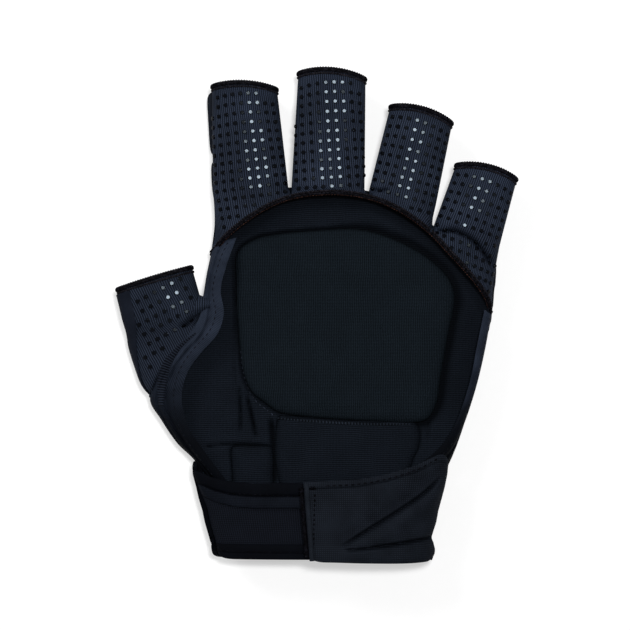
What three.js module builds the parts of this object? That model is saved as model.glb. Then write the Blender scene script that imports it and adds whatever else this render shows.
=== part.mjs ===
// Field hockey glove for the left hand, with half fingers, an open palm and a padded back.
// It lies on its guards with the palm side up (+Z), the fingers along +Y and the thumb towards -X.
// Lengths are in millimetres and angles in degrees. The origin is under the middle of its outline.
import * as THREE from 'three';

// Layers, counted up from the surface that the guards rest on
const guardThickness = 7;
const shellWall = 2;
const fabricWall = 1.4;
const tubeHeight = 14;
const sewingGap = 0.3;
const sleeveSquareness = 2.5;

// Finger sleeves, from the index to the little finger. The drop is how far each crotch lies behind
// the base of the finger before it.
const crotchGap = 0.9;
const mouthBow = 2.4;
const tipHemLength = 3.6;
const tipHemThickness = 2.4;
const indexFinger = {
  name: 'index', tilt: -3.9, drop: 0, baseWidth: 31.2, tipWidth: 27.2, proximalLength: 14, distalLength: 28,
};
const middleFinger = {
  name: 'middle', tilt: 2, drop: 0.3, baseWidth: 30.8, tipWidth: 28.4, proximalLength: 14.6, distalLength: 32.6,
};
const ringFinger = {
  name: 'ring', tilt: 12.8, drop: 0.3, baseWidth: 28.8, tipWidth: 27, proximalLength: 12, distalLength: 24,
};
const littleFinger = {
  name: 'little', tilt: 17.2, drop: 9.2, baseWidth: 28.4, tipWidth: 25.2, proximalLength: 9.6, distalLength: 19,
};
const fingers = [indexFinger, middleFinger, ringFinger, littleFinger];

// Guards on the backs of the fingers
const guardInset = 0.5;
const guardEdgeRound = 2;
const guardSetback = 12;
const knuckleGuardLength = 20;
const guardTaperShare = 0.13;
const guardSquareness = 7;
const indexGuardOffset = 1.4;

// Thumb sleeve
const thumb = { name: 'thumb', tilt: -14.6, baseWidth: 33.4, tipWidth: 33.2, length: 13.6 };

// Hand, from the cuff to the base of the index finger
const handLength = 115;
const hemRadius = 1.1;
const mainPadHeight = 5.4;
const mainPadChannel = 2.6;
const liningHeight = 3;
const liningChannel = 1.2;
const bandWall = 1.8;

// Cuff and its closure
const cuffLength = 40.6;
const cuffTopWidth = 104;
const cuffBottomWidth = 91.5;
const cuffHeight = 15.7;
const cuffSquareness = 2.6;
const cuffGuardMargin = 8;
const cuffBackDip = 14;
const strapWall = 1.8;
const strapDip = 6.4;
const strapOverlap = 23;
const strapBindingWidth = 10.6;
const strapHemWidth = 7.4;
const patchWall = 0.9;
const patchLength = 17;
const patchMargin = 2.4;
const flapWall = 2.4;
const flapReach = 56;
const flapDip = 8.6;
const flapBindingWidth = 3.2;
const flapHemWidth = 4.8;
const flapTrimWall = 3;

// Finishes
const finishes = {
  knit: new THREE.MeshStandardMaterial({ color: 0x22273a, roughness: 0.72, metalness: 0 }),
  lining: new THREE.MeshStandardMaterial({ color: 0x13181e, roughness: 0.85, metalness: 0 }),
  overlock: new THREE.MeshStandardMaterial({ color: 0x0b0b0d, roughness: 0.7, metalness: 0 }),
  neoprene: new THREE.MeshStandardMaterial({ color: 0x1b1f27, roughness: 0.6, metalness: 0 }),
  elastic: new THREE.MeshStandardMaterial({ color: 0x0f1218, roughness: 0.8, metalness: 0 }),
  guard: new THREE.MeshStandardMaterial({ color: 0x15181f, roughness: 0.65, metalness: 0 }),
  fastener: new THREE.MeshStandardMaterial({ color: 0x0a0b0e, roughness: 0.55, metalness: 0 }),
};

// Heights worked out from the layers
const tubeFloor = guardThickness + sewingGap;
const tubeTop = tubeFloor + tubeHeight;
const tubeMiddle = tubeFloor + tubeHeight / 2;
const seat = tubeFloor + shellWall + sewingGap;
const cuffMiddle = tubeFloor + cuffHeight / 2;
const { degToRad, lerp } = THREE.MathUtils;

function signedPower(value, power) {
  return Math.sign(value) * Math.abs(value) ** power;
}

// A point of a squared oval, with the angle in turns from +X towards +Z
function ovalPoint(halfWidth, halfHeight, squareness, turns) {
  const angle = turns * Math.PI * 2;
  const power = 2 / squareness;
  return [halfWidth * signedPower(Math.cos(angle), power), halfHeight * signedPower(Math.sin(angle), power)];
}

// The angle, in turns, at which the right side of a squared oval is this high above its middle
function turnsAtHeight(halfHeight, squareness, height) {
  return Math.asin(signedPower(height / halfHeight, squareness / 2)) / (Math.PI * 2);
}

// The angle, in turns, at which the top of a squared oval is this far to the right of its middle
function turnsAcross(halfWidth, squareness, across) {
  return Math.acos(signedPower(across / halfWidth, squareness / 2)) / (Math.PI * 2);
}

// A closed body from points and triangles, turned so that its faces point out
function closedBody(points, faces) {
  let volume = 0;
  for (const [a, b, c] of faces) {
    volume += points[a].dot(new THREE.Vector3().crossVectors(points[b], points[c]));
  }
  const geometry = new THREE.BufferGeometry();
  geometry.setAttribute('position', new THREE.Float32BufferAttribute(points.flatMap((p) => [p.x, p.y, p.z]), 3));
  geometry.setIndex(faces.flatMap(([a, b, c]) => (volume < 0 ? [a, c, b] : [a, b, c])));
  geometry.computeVertexNormals();
  return geometry;
}

// The point under at(u, v) at the depth of the wall, square to the face
function pointUnder({ at, wall, ring, inward }, u, v) {
  const step = 0.002;
  const [before, after] = ring ? [u - step, u + step] : [Math.max(u - step, 0), Math.min(u + step, 1)];
  const alongU = at(after, v).sub(at(before, v));
  const alongV = at(u, Math.min(v + step, 1)).sub(at(u, Math.max(v - step, 0)));
  const normal = new THREE.Vector3().crossVectors(alongV, alongU).normalize();
  return at(u, v).addScaledVector(normal, -wall * inward);
}

// A sheet whose outer face is at(u, v), and whose inner face is under(u, v) or else an even wall away.
// With ring set, u closes on itself. Inward is 1 or -1, the side of the face on which the wall lies.
function thickSheet({ at, under, columns, rows, wall, ring = false, inward = 1 }) {
  const across = ring ? columns : columns + 1;
  const points = [];
  for (let row = 0; row <= rows; row += 1) {
    for (let column = 0; column < across; column += 1) {
      const [u, v] = [column / columns, row / rows];
      points.push(at(u, v), under ? under(u, v) : pointUnder({ at, wall, ring, inward }, u, v));
    }
  }
  const outerAt = (row, column) => 2 * (row * across + (column % across));
  const faces = [];
  const quad = (a, b, c, d) => faces.push([a, b, c], [a, c, d]);
  for (let row = 0; row < rows; row += 1) {
    for (let column = 0; column < columns; column += 1) {
      const [a, b] = [outerAt(row, column), outerAt(row, column + 1)];
      const [c, d] = [outerAt(row + 1, column + 1), outerAt(row + 1, column)];
      quad(a, b, c, d);
      quad(a + 1, d + 1, c + 1, b + 1);
    }
  }
  for (let column = 0; column < columns; column += 1) {
    const [a, b] = [outerAt(0, column), outerAt(0, column + 1)];
    const [c, d] = [outerAt(rows, column + 1), outerAt(rows, column)];
    quad(b, a, a + 1, b + 1);
    quad(d, c, c + 1, d + 1);
  }
  for (let row = 0; row < rows && !ring; row += 1) {
    const [a, d] = [outerAt(row, 0), outerAt(row + 1, 0)];
    const [b, c] = [outerAt(row, columns), outerAt(row + 1, columns)];
    quad(a, d, d + 1, a + 1);
    quad(c, b, b + 1, c + 1);
  }
  return closedBody(points, faces);
}

// An outline moved inwards, square to itself
function insetOutline(outline, inset) {
  const facing = Math.sign(THREE.ShapeUtils.area(outline));
  return outline.map((corner, index) => {
    const before = outline.at(index - 1);
    const after = outline[(index + 1) % outline.length];
    const heading = after.clone().sub(before).normalize();
    return new THREE.Vector2(-heading.y, heading.x).multiplyScalar(inset * facing).add(corner);
  });
}

// A pad over a flat outline, from its flat face to its far face. outlineAt gives the outline at an
// inset. Each level has an inset, a height, and the share by which it then closes towards the middle.
function levelledPad(outlineAt, levels) {
  const outline = outlineAt(0);
  const centre = outline.reduce((sum, p) => sum.add(p), new THREE.Vector2()).divideScalar(outline.length);
  const points = [new THREE.Vector3(centre.x, centre.y, levels[0][1])];
  for (const [inset, height, closing = 0] of levels) {
    for (const corner of outlineAt(inset)) {
      const p = corner.clone().lerp(centre, closing);
      points.push(new THREE.Vector3(p.x, p.y, height));
    }
  }
  points.push(new THREE.Vector3(centre.x, centre.y, levels.at(-1)[1]));
  const count = outline.length;
  const last = points.length - 1;
  const faces = [];
  for (let side = 0; side < count; side += 1) {
    const next = (side + 1) % count;
    faces.push([0, 1 + side, 1 + next], [last, last - count + next, last - count + side]);
    for (let level = 0; level < levels.length - 1; level += 1) {
      const low = 1 + level * count;
      const high = low + count;
      faces.push([low + side, high + side, high + next], [low + side, high + next, low + next]);
    }
  }
  return closedBody(points, faces);
}

function smoothOutline(corners, count) {
  const curve = new THREE.CatmullRomCurve3(corners, true, 'centripetal');
  return curve.getSpacedPoints(count).slice(0, count).map((p) => new THREE.Vector2(p.x, p.y));
}

const glove = new THREE.Group();

function addPiece(carrier, name, geometry, finish) {
  const piece = new THREE.Mesh(geometry, finishes[finish]);
  piece.name = name;
  carrier.add(piece);
}

// A group whose +Y runs along a digit, with its middle at the digit's base
function digitCarrier(base, tilt) {
  const carrier = new THREE.Group();
  carrier.position.set(base.x, base.y, 0);
  carrier.rotation.z = -degToRad(tilt);
  glove.add(carrier);
  return carrier;
}

// Each finger's base, set from the right side of the finger before it. X counts from the index
// finger's outer side and Y from the bottom edge of the cuff.
function placeFingers() {
  let corner = new THREE.Vector2(0, cuffLength + handLength);
  let previous = null;
  for (const finger of fingers) {
    const angle = degToRad(finger.tilt);
    const along = new THREE.Vector2(Math.sin(angle), Math.cos(angle));
    const across = new THREE.Vector2(along.y, -along.x);
    if (previous) {
      corner = previous.right.clone().addScaledVector(previous.along, -finger.drop);
      corner.addScaledVector(previous.across, crotchGap);
    }
    const base = corner.clone().addScaledVector(across, finger.baseWidth / 2);
    const right = corner.clone().addScaledVector(across, finger.baseWidth);
    const length = finger.proximalLength + finger.distalLength;
    Object.assign(finger, { along, across, base, length, left: corner, right });
    previous = finger;
  }
  return previous.right.x;
}

const palmBreadth = placeFingers();

// A place on the hand, in shares of the palm's breadth from the index side and of the hand's length from the cuff
function onHand(xShare, yShare, height = 0) {
  return new THREE.Vector3(xShare * palmBreadth, cuffLength + sewingGap + yShare * handLength, height);
}

// A line over the hand through rows of x share, y share and rise share, from the seat to the sleeves' tops
function handLine(rows) {
  const points = rows.map(([x, y, rise]) => onHand(x, y, lerp(seat, tubeTop, rise)));
  return new THREE.CatmullRomCurve3(points, false, 'centripetal');
}

// Edge of the palm opening under the fingers, from the index side to the little finger's side
const palmHemShares = [
  [-0.007, 0.774, 0.12], [0.061, 0.85, 0.76], [0.164, 0.928, 0.94], [0.263, 0.97, 0.86], [0.413, 0.986, 0.95],
  [0.541, 0.969, 0.86], [0.651, 0.922, 0.94], [0.755, 0.845, 0.84], [0.829, 0.765, 0.93], [0.904, 0.68, 0.93],
  [0.954, 0.612, 0.72], [0.983, 0.543, 0.12],
];
const crotchStops = [0, 3, 5, 7, 11];

// Bands at the two sides of the open palm, from the hem down to the cuff
const thumbBandInnerShares = [
  [0.046, 0.765, 0.9], [0.03, 0.715, 0.92], [0.011, 0.631, 0.86], [0.022, 0.55, 0.84], [0, 0.474, 0.86],
  [-0.064, 0.397, 0.9], [-0.107, 0.332, 0.9], [-0.128, 0.244, 0.86], [-0.107, 0.138, 0.8], [-0.06, 0.062, 0.8],
  [-0.01, 0.012, 0.8],
];
const thumbBandOuterShares = [
  [-0.012, 0.745, 0], [-0.022, 0.696, 0.05], [-0.035, 0.61, 0.4], [-0.042, 0.528, 0.86], [-0.089, 0.459, 0.95],
  [-0.157, 0.401, 0.95], [-0.196, 0.324, 0.8], [-0.211, 0.228, 0.1], [-0.185, 0.157, 0], [-0.121, 0.069, 0],
  [-0.072, 0.012, 0],
];
const outerBandInnerShares = [
  [0.943, 0.515, 0.8], [0.922, 0.423, 0.86], [0.893, 0.28, 0.86], [0.829, 0.112, 0.84], [0.76, 0.03, 0.84],
];
const outerBandOuterShares = [
  [0.984, 0.505, 0], [0.958, 0.412, 0], [0.918, 0.27, 0], [0.865, 0.112, 0], [0.835, 0.012, 0],
];

// The thumb's base: its middle, its outer line, and the stretch of the band's line that it joins
const thumbBaseShares = [-0.2, 0.564];
const thumbShellOuterShares = [
  [-0.33, 0.513, 0], [-0.312, 0.438, 0], [-0.283, 0.356, 0], [-0.253, 0.28, 0], [-0.226, 0.228, 0],
];
const thumbSeamShares = [0.27, 0.68];

// The back shell's two sides, down to the cuff on the thumb's side and up from it on the other
const thumbSideShares = [
  [-0.012, 0.783], [-0.028, 0.667], [-0.05, 0.5985], [-0.32, 0.5266], [-0.312, 0.438], [-0.283, 0.356],
  [-0.253, 0.28], [-0.203, 0.196], [-0.171, 0.138], [-0.12, 0.065], [-0.068, 0],
];
const outerSideShares = [[0.828, 0], [0.865, 0.112], [0.918, 0.27], [0.958, 0.412], [0.984, 0.528], [1.002, 0.702]];

// Pads on the palm side of the back shell, seen through the open palm
const mainPadShares = [
  [0.082, 0.776], [0.146, 0.823], [0.214, 0.839], [0.35, 0.852], [0.477, 0.858], [0.555, 0.846], [0.665, 0.804],
  [0.769, 0.739], [0.833, 0.667], [0.848, 0.607], [0.822, 0.449], [0.8, 0.322], [0.783, 0.214], [0.751, 0.168],
  [0.705, 0.156], [0.57, 0.153], [0.438, 0.156], [0.3, 0.169], [0.214, 0.184], [0.171, 0.214], [0.125, 0.262],
  [0.1, 0.336], [0.088, 0.431], [0.08, 0.539], [0.076, 0.661],
];
const lowerPalmPadShares = [
  [0.222, 0.135], [0.33, 0.128], [0.449, 0.122], [0.56, 0.119], [0.672, 0.119], [0.69, 0.065], [0.655, 0],
  [0.645, -0.07], [0.56, -0.085], [0.449, -0.087], [0.33, -0.087], [0.228, -0.083], [0.218, -0.02], [0.216, 0.065],
];
const thumbLiningShares = [
  [0.05, 0.58], [0.058, 0.474], [0.07, 0.339], [0.1, 0.228], [0.15, 0.173], [0.182, 0.133], [0.175, 0.081],
  [0.064, 0.073], [-0.03, 0.081], [-0.085, 0.146], [-0.11, 0.229], [-0.09, 0.316], [-0.035, 0.39], [0.022, 0.465],
  [0.04, 0.526],
];
const lowerThumbOuterShares = [
  [-0.035, 0.058], [0.008, 0.059], [0.044, 0.056], [0.048, 0.034], [0.046, 0.008], [0.008, 0.005], [-0.022, 0.014],
];
const lowerThumbInnerShares = [
  [0.068, 0.057], [0.125, 0.059], [0.188, 0.057], [0.196, 0.03], [0.197, -0.04], [0.19, -0.082], [0.125, -0.085],
  [0.093, -0.08], [0.078, -0.03], [0.062, 0.005], [0.06, 0.034],
];
const outerLiningRightShares = [
  [0.91, 0.6], [0.93, 0.53], [0.905, 0.41], [0.875, 0.28], [0.812, 0.11], [0.765, 0.05],
];
const outerLiningLeftShares = [
  [0.885, 0.6], [0.872, 0.53], [0.852, 0.42], [0.83, 0.31], [0.776, 0.15], [0.715, 0.08],
];

// Guards on the back of the hand, in shares of its reach below the knuckle guards, and of the thumb's base
const backGuardShares = [
  [0.04, 0.928], [0.3, 0.97], [0.52, 0.928], [0.7, 0.804], [0.83, 0.637], [0.86, 0.471], [0.82, 0.249],
  [0.76, 0.055], [0.4, 0.042], [0.06, 0.055], [0.02, 0.222], [0.01, 0.471], [0.02, 0.72],
];
const thumbGuardShares = [
  [-0.29, 0.5], [-0.22, 0.525], [-0.1, 0.56], [-0.055, 0.56], [-0.035, 0.45], [-0.032, 0.3], [-0.04, 0.12],
  [-0.075, 0.07], [-0.13, 0.11], [-0.2, 0.225], [-0.25, 0.33], [-0.285, 0.42],
];

function halfWidthAt(digit, y) {
  return lerp(digit.baseWidth, digit.tipWidth, y / digit.length) / 2;
}

// How far a sleeve's mouth bows forward, from none at its sides to its most in the middle
function bowAt(across, halfWidth) {
  return mouthBow * (1 - (across / halfWidth) ** 2);
}

// A stretch of a sleeve: a squared oval tube that tapers towards the tip, where its mouth bows
function sleeveStretch(digit, low, high, isTip = false) {
  const at = (u, v) => {
    const y = lerp(low, high, v);
    const halfWidth = halfWidthAt(digit, y);
    const [x, z] = ovalPoint(halfWidth, tubeHeight / 2, sleeveSquareness, u);
    return new THREE.Vector3(x, y + (isTip ? bowAt(x, halfWidth) * v : 0), tubeMiddle + z);
  };
  return thickSheet({ at, columns: 24, rows: 1, wall: fabricWall, ring: true });
}

// The overlocked ring round a sleeve's mouth, flat underneath where the guard ends
function tipHem(digit) {
  const middle = digit.length - tipHemLength / 2;
  const halfWidth = halfWidthAt(digit, middle) - fabricWall / 2;
  const halfHeight = (tubeHeight - fabricWall) / 2;
  const [rounds, sides] = [24, 6];
  const points = [];
  const faces = [];
  for (let round = 0; round < rounds; round += 1) {
    for (let side = 0; side < sides; side += 1) {
      const [out, forward] = ovalPoint(tipHemThickness / 2, tipHemLength / 2, 2, side / sides);
      const [x, z] = ovalPoint(halfWidth + out, halfHeight + out, sleeveSquareness, round / rounds);
      const bow = bowAt(Math.min(Math.abs(x), halfWidth), halfWidth);
      points.push(new THREE.Vector3(x, middle + forward + bow, tubeMiddle + z));
      const [a, b] = [round * sides + side, round * sides + ((side + 1) % sides)];
      const ahead = ((round + 1) % rounds) * sides;
      const [c, d] = [ahead + ((side + 1) % sides), ahead + side];
      faces.push([a, b, c], [a, c, d]);
    }
  }
  return closedBody(points, faces);
}

// The outline of a guard in its digit's frame, narrower behind the digit's base
function guardOutline(halfWidth, low, high, inset) {
  const count = 24;
  const outline = [];
  for (let side = 0; side < count; side += 1) {
    const halfLength = (high - low) / 2 - inset;
    const [x, y] = ovalPoint(halfWidth - inset, halfLength, guardSquareness, side / count);
    const place = (low + high) / 2 + y;
    const share = 1 - Math.max(-place, 0) * guardTaperShare / halfWidth;
    outline.push(new THREE.Vector2(x * share, place));
  }
  return outline;
}

// A guard carries the glove on its flat outer face, which has rounded edges
function guardPad(outlineAt) {
  return levelledPad(outlineAt, [
    [0, guardThickness], [0, guardEdgeRound], [guardEdgeRound * 0.4, guardEdgeRound * 0.3], [guardEdgeRound, 0],
  ]);
}

function digitGuard(halfWidth, low, high) {
  return guardPad((inset) => guardOutline(halfWidth, low, high, inset));
}

function buildFinger(finger) {
  const carrier = digitCarrier(finger.base, finger.tilt);
  const half = sewingGap / 2;
  const { name, proximalLength, length } = finger;
  const sleeveEnd = length - tipHemLength - sewingGap;
  addPiece(carrier, `${name}_sleeve_proximal`, sleeveStretch(finger, half, proximalLength - half), 'knit');
  addPiece(carrier, `${name}_sleeve_distal`, sleeveStretch(finger, proximalLength + half, sleeveEnd, true), 'knit');
  addPiece(carrier, `${name}_tip_hem`, tipHem(finger), 'overlock');
  const halfWidth = finger.tipWidth / 2 - guardInset;
  const guards = new THREE.Group();
  guards.position.x = finger === indexFinger ? -indexGuardOffset : 0;
  carrier.add(guards);
  const knuckleTop = -guardSetback - sewingGap;
  addPiece(guards, `${name}_guard_proximal`, digitGuard(halfWidth, -guardSetback, proximalLength - half), 'guard');
  addPiece(guards, `${name}_guard_distal`, digitGuard(halfWidth, proximalLength + half, sleeveEnd), 'guard');
  const knuckle = digitGuard(halfWidth, knuckleTop - knuckleGuardLength, knuckleTop);
  addPiece(guards, `${name}_guard_knuckle`, knuckle, 'guard');
}

function buildThumbTip() {
  const carrier = digitCarrier(onHand(...thumbBaseShares), thumb.tilt);
  const sleeveEnd = thumb.length - tipHemLength - sewingGap;
  addPiece(carrier, 'thumb_sleeve', sleeveStretch(thumb, sewingGap / 2, sleeveEnd, true), 'knit');
  addPiece(carrier, 'thumb_tip_hem', tipHem(thumb), 'overlock');
  const halfWidth = thumb.baseWidth / 2 - guardEdgeRound;
  addPiece(carrier, 'thumb_guard_tip', digitGuard(halfWidth, sewingGap / 2, sleeveEnd), 'guard');
}

// The palm side of the finger bases, crowned over each finger and drawn in at the crotches. It runs
// from the hem of the open palm up to the sleeves, and down to the back shell at its two ends.
function fingerBasePanel() {
  const hem = handLine(palmHemShares);
  const stops = crotchStops.map((stop) => stop / (palmHemShares.length - 1));
  const seatTurns = turnsAtHeight(tubeHeight / 2, sleeveSquareness, tubeMiddle - seat);
  const crotchTurns = 0.05;
  const clear = hemRadius + sewingGap;
  // The upper edge: a crown over each finger, or the bottom of the valley before a finger
  const upperEdge = (index, share, depth) => {
    const finger = fingers[index];
    if (index > 0 && share === 0) {
      const valley = finger.left.clone().addScaledVector(finger.across, -crotchGap / 2);
      valley.addScaledVector(finger.along, -sewingGap * 2);
      return new THREE.Vector3(valley.x, valley.y, tubeMiddle - depth);
    }
    const start = 0.5 + (index === 0 ? seatTurns : -crotchTurns);
    const end = index === fingers.length - 1 ? -seatTurns : crotchTurns;
    const [halfWidth, halfHeight] = [finger.baseWidth / 2 - depth, tubeHeight / 2 - depth];
    const [x, z] = ovalPoint(halfWidth, halfHeight, sleeveSquareness, lerp(start, end, share));
    const top = finger.base.clone().addScaledVector(finger.across, x);
    top.addScaledVector(finger.along, -sewingGap / 2);
    return new THREE.Vector3(top.x, top.y, Math.max(tubeMiddle + z, seat));
  };
  const atDepth = (u, v, depth) => {
    const place = u * fingers.length;
    const index = Math.min(Math.floor(place), fingers.length - 1);
    const share = place - index;
    const stop = lerp(stops[index], stops[index + 1], share);
    const heading = hem.getTangent(stop);
    const low = hem.getPoint(stop);
    low.addScaledVector(new THREE.Vector3(-heading.y, heading.x, 0).normalize(), clear);
    low.z -= depth;
    return low.lerp(upperEdge(index, share, depth), v);
  };
  const at = (u, v) => atDepth(u, v, 0);
  const under = (u, v) => atDepth(u, v, fabricWall);
  return thickSheet({ at, under, columns: 40, rows: 3 });
}

// A round cord along a curve, with a many-sided section
function cord(curve, radius, steps, sides) {
  const corners = [];
  for (let side = 0; side < sides; side += 1) {
    const [x, y] = ovalPoint(radius, radius, 2, side / sides);
    corners.push(new THREE.Vector2(x, y));
  }
  return new THREE.ExtrudeGeometry(new THREE.Shape(corners), { steps, extrudePath: curve });
}

// A band from an outer line on the back shell to an inner line over the palm, bulged outwards
function sideBand(outerShares, innerShares, rows, inward) {
  const outer = handLine(outerShares);
  const inner = handLine(innerShares);
  const at = (u, v) => {
    const low = outer.getPoint(v);
    const high = inner.getPoint(v);
    const shoulder = low.clone().setZ(Math.max(low.z, high.z));
    return new THREE.QuadraticBezierCurve3(low, shoulder, high).getPoint(u);
  };
  return thickSheet({ at, columns: 5, rows, wall: bandWall, inward });
}

// The palm side of the thumb's base, from its outer line on the back shell over to the band
function thumbBaseShell() {
  const outer = handLine(thumbShellOuterShares);
  const band = handLine(thumbBandOuterShares);
  const at = (u, v) => {
    const stop = lerp(thumbSeamShares[0], thumbSeamShares[1], v);
    const heading = band.getTangent(stop);
    const high = band.getPoint(stop);
    high.addScaledVector(new THREE.Vector3(heading.y, -heading.x, 0).normalize(), sewingGap * 2);
    const low = outer.getPoint(v);
    const nearLow = low.clone().setZ(tubeTop);
    const nearHigh = low.clone().lerp(high, 0.75).setZ(Math.min(tubeTop, high.z + tubeHeight / 2));
    return new THREE.CubicBezierCurve3(low, nearLow, nearHigh, high).getPoint(u);
  };
  return thickSheet({ at, columns: 10, rows: 6, wall: fabricWall });
}

// The cuff is a squared oval whose middle and width change from its bottom edge to its top edge
const cuffMiddleShares = [0.393, 0.375];
const hingeRiseShare = 0.12;
const cuffColumns = 26;

function cuffMiddleX(y) {
  return lerp(cuffMiddleShares[0], cuffMiddleShares[1], y / cuffLength) * palmBreadth;
}

function cuffHalfWidth(y) {
  return lerp(cuffBottomWidth, cuffTopWidth, y / cuffLength) / 2;
}

// The cuff's seam with the back shell: level at its sides, and dipped across the flat of the back
function cuffSeam(turns) {
  const across = Math.abs(ovalPoint(1, 1, cuffSquareness, turns)[0]);
  const dip = turns > 0.5 && turns < 1 ? 1 - THREE.MathUtils.smoothstep(across, 0.62, 0.86) : 0;
  return cuffLength - cuffBackDip * dip;
}

function cuffPoint(turns, y, lift = 0) {
  const [x, z] = ovalPoint(cuffHalfWidth(y), cuffHeight / 2 + lift, cuffSquareness, turns);
  return new THREE.Vector3(cuffMiddleX(y) + x, y, cuffMiddle + z);
}

// The turns at which the cuff's back starts and ends, just under the hinge of its flap
function cuffBackTurns() {
  const right = turnsAtHeight(cuffHeight / 2, cuffSquareness, hingeRiseShare * cuffHeight - sewingGap / 2);
  return [0.5 - right, 1 + right];
}

// The dipped stretch of the seam, from left to right, along the back shell's lower edge
function seamPoints() {
  const [from, to] = cuffBackTurns();
  const points = [];
  for (let column = 0; column <= cuffColumns; column += 1) {
    const turns = lerp(from, to, column / cuffColumns);
    const seam = cuffSeam(turns);
    if (seam < cuffLength) {
      points.push(cuffPoint(turns, seam).setZ(0));
    }
  }
  return points.map((p) => new THREE.Vector2(p.x, p.y + sewingGap));
}

// The back shell, whose outline follows the base corners of the fingers, the sides and the cuff's seam
function backShell() {
  const corners = [];
  for (const finger of fingers) {
    for (const corner of [finger.left, finger.right]) {
      corners.push(corner.clone().addScaledVector(finger.along, -sewingGap));
    }
  }
  const [thumbSide, outerSide] = [thumbSideShares, outerSideShares].map((shares) => (
    shares.map(([x, y]) => onHand(x, y)).map((p) => new THREE.Vector2(p.x, p.y))));
  const shape = new THREE.Shape([...thumbSide, ...seamPoints(), ...outerSide, ...corners.toReversed()]);
  const geometry = new THREE.ExtrudeGeometry(shape, { depth: shellWall, bevelEnabled: false });
  return geometry.translate(0, 0, tubeFloor);
}

// A crowned pad with drawn-in sides and a sewn channel inside its border
function crownedPad(shares, height, channel, count) {
  const outline = smoothOutline(shares.map(([x, y]) => onHand(x, y)), count);
  const rise = (share) => seat + height * share;
  return levelledPad((inset) => insetOutline(outline, inset), [
    [channel / 4, seat], [0, rise(0.15)], [channel / 5, rise(0.34)], [channel * 0.6, rise(0.42)],
    [channel, rise(0.34)], [channel * 1.5, rise(0.7)], [channel * 1.5, rise(0.92), 0.12],
    [channel * 1.5, rise(1), 0.4],
  ]);
}

// A flat strip of lining between two lines, as thick as its height over the back shell
function liningStrip(rightShares, leftShares, height) {
  const lines = [rightShares, leftShares].map((shares) => handLine(shares.map(([x, y]) => [x, y, 0])));
  const at = (u, v) => {
    const [right, left] = lines.map((line) => line.getPoint(v));
    return right.lerp(left, u).setZ(seat + height);
  };
  return thickSheet({ at, columns: 3, rows: 12, wall: height, inward: -1 });
}

function handGuard(shares) {
  const outline = smoothOutline(shares.map(([x, y]) => onHand(x, y)), 32);
  return guardPad((inset) => insetOutline(outline, inset));
}

function buildHand() {
  const base = new THREE.Group();
  glove.add(base);
  addPiece(base, 'back_shell', backShell(), 'lining');
  addPiece(base, 'finger_base_panel', fingerBasePanel(), 'knit');
  addPiece(base, 'palm_hem', cord(handLine(palmHemShares), hemRadius, 40, 6), 'overlock');
  addPiece(base, 'thumb_side_band', sideBand(thumbBandOuterShares, thumbBandInnerShares, 20, 1), 'neoprene');
  addPiece(base, 'outer_side_band', sideBand(outerBandOuterShares, outerBandInnerShares, 10, -1), 'neoprene');
  addPiece(base, 'thumb_base_shell', thumbBaseShell(), 'knit');
  const liningPad = (shares, count) => crownedPad(shares, liningHeight, liningChannel, count);
  addPiece(base, 'main_palm_pad', crownedPad(mainPadShares, mainPadHeight, mainPadChannel, 56), 'lining');
  addPiece(base, 'lower_palm_pad', liningPad(lowerPalmPadShares, 32), 'lining');
  addPiece(base, 'thumb_lining_pad', liningPad(thumbLiningShares, 36), 'lining');
  addPiece(base, 'lower_thumb_pad_outer', liningPad(lowerThumbOuterShares, 18), 'lining');
  addPiece(base, 'lower_thumb_pad_inner', liningPad(lowerThumbInnerShares, 22), 'lining');
  const outerLining = liningStrip(outerLiningRightShares, outerLiningLeftShares, liningHeight / 2);
  addPiece(base, 'outer_lining', outerLining, 'lining');
  const reachShare = (handLength - guardSetback - knuckleGuardLength) / handLength;
  const backOutline = backGuardShares.map(([x, y]) => [x, y * reachShare]);
  addPiece(base, 'back_guard', handGuard(backOutline), 'guard');
  addPiece(base, 'thumb_guard_base', handGuard(thumbGuardShares), 'guard');
}

const hingeRise = hingeRiseShare * cuffHeight;
const flapEdge = cuffTopWidth / 2 - flapReach;
const strapEnd = flapEdge + strapOverlap;
const patchLift = sewingGap + patchWall;
const flapLift = 2 * patchLift + sewingGap + flapWall;

// Turns of a cuff layer, lifted over the strap, at the hinge's height on its right side or at a place across it
function layerTurns(lift, { across, y = cuffLength / 2, clear = 0 }) {
  const halfHeight = cuffHeight / 2 + lift;
  if (across === undefined) {
    return turnsAtHeight(halfHeight, cuffSquareness, hingeRise + clear);
  }
  return turnsAcross(cuffHalfWidth(y), cuffSquareness, across);
}

// A layer of the cuff between two turns and two lines across it. Its outer face is lifted over the strap's.
function cuffLayer({ lift = 0, from, to, low, high, wall, columns, rows = 3 }) {
  const at = (u, v) => cuffPoint(lerp(from, to, u), lerp(low(u), high(u), v), lift);
  return thickSheet({ at, columns, rows, wall });
}

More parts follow.
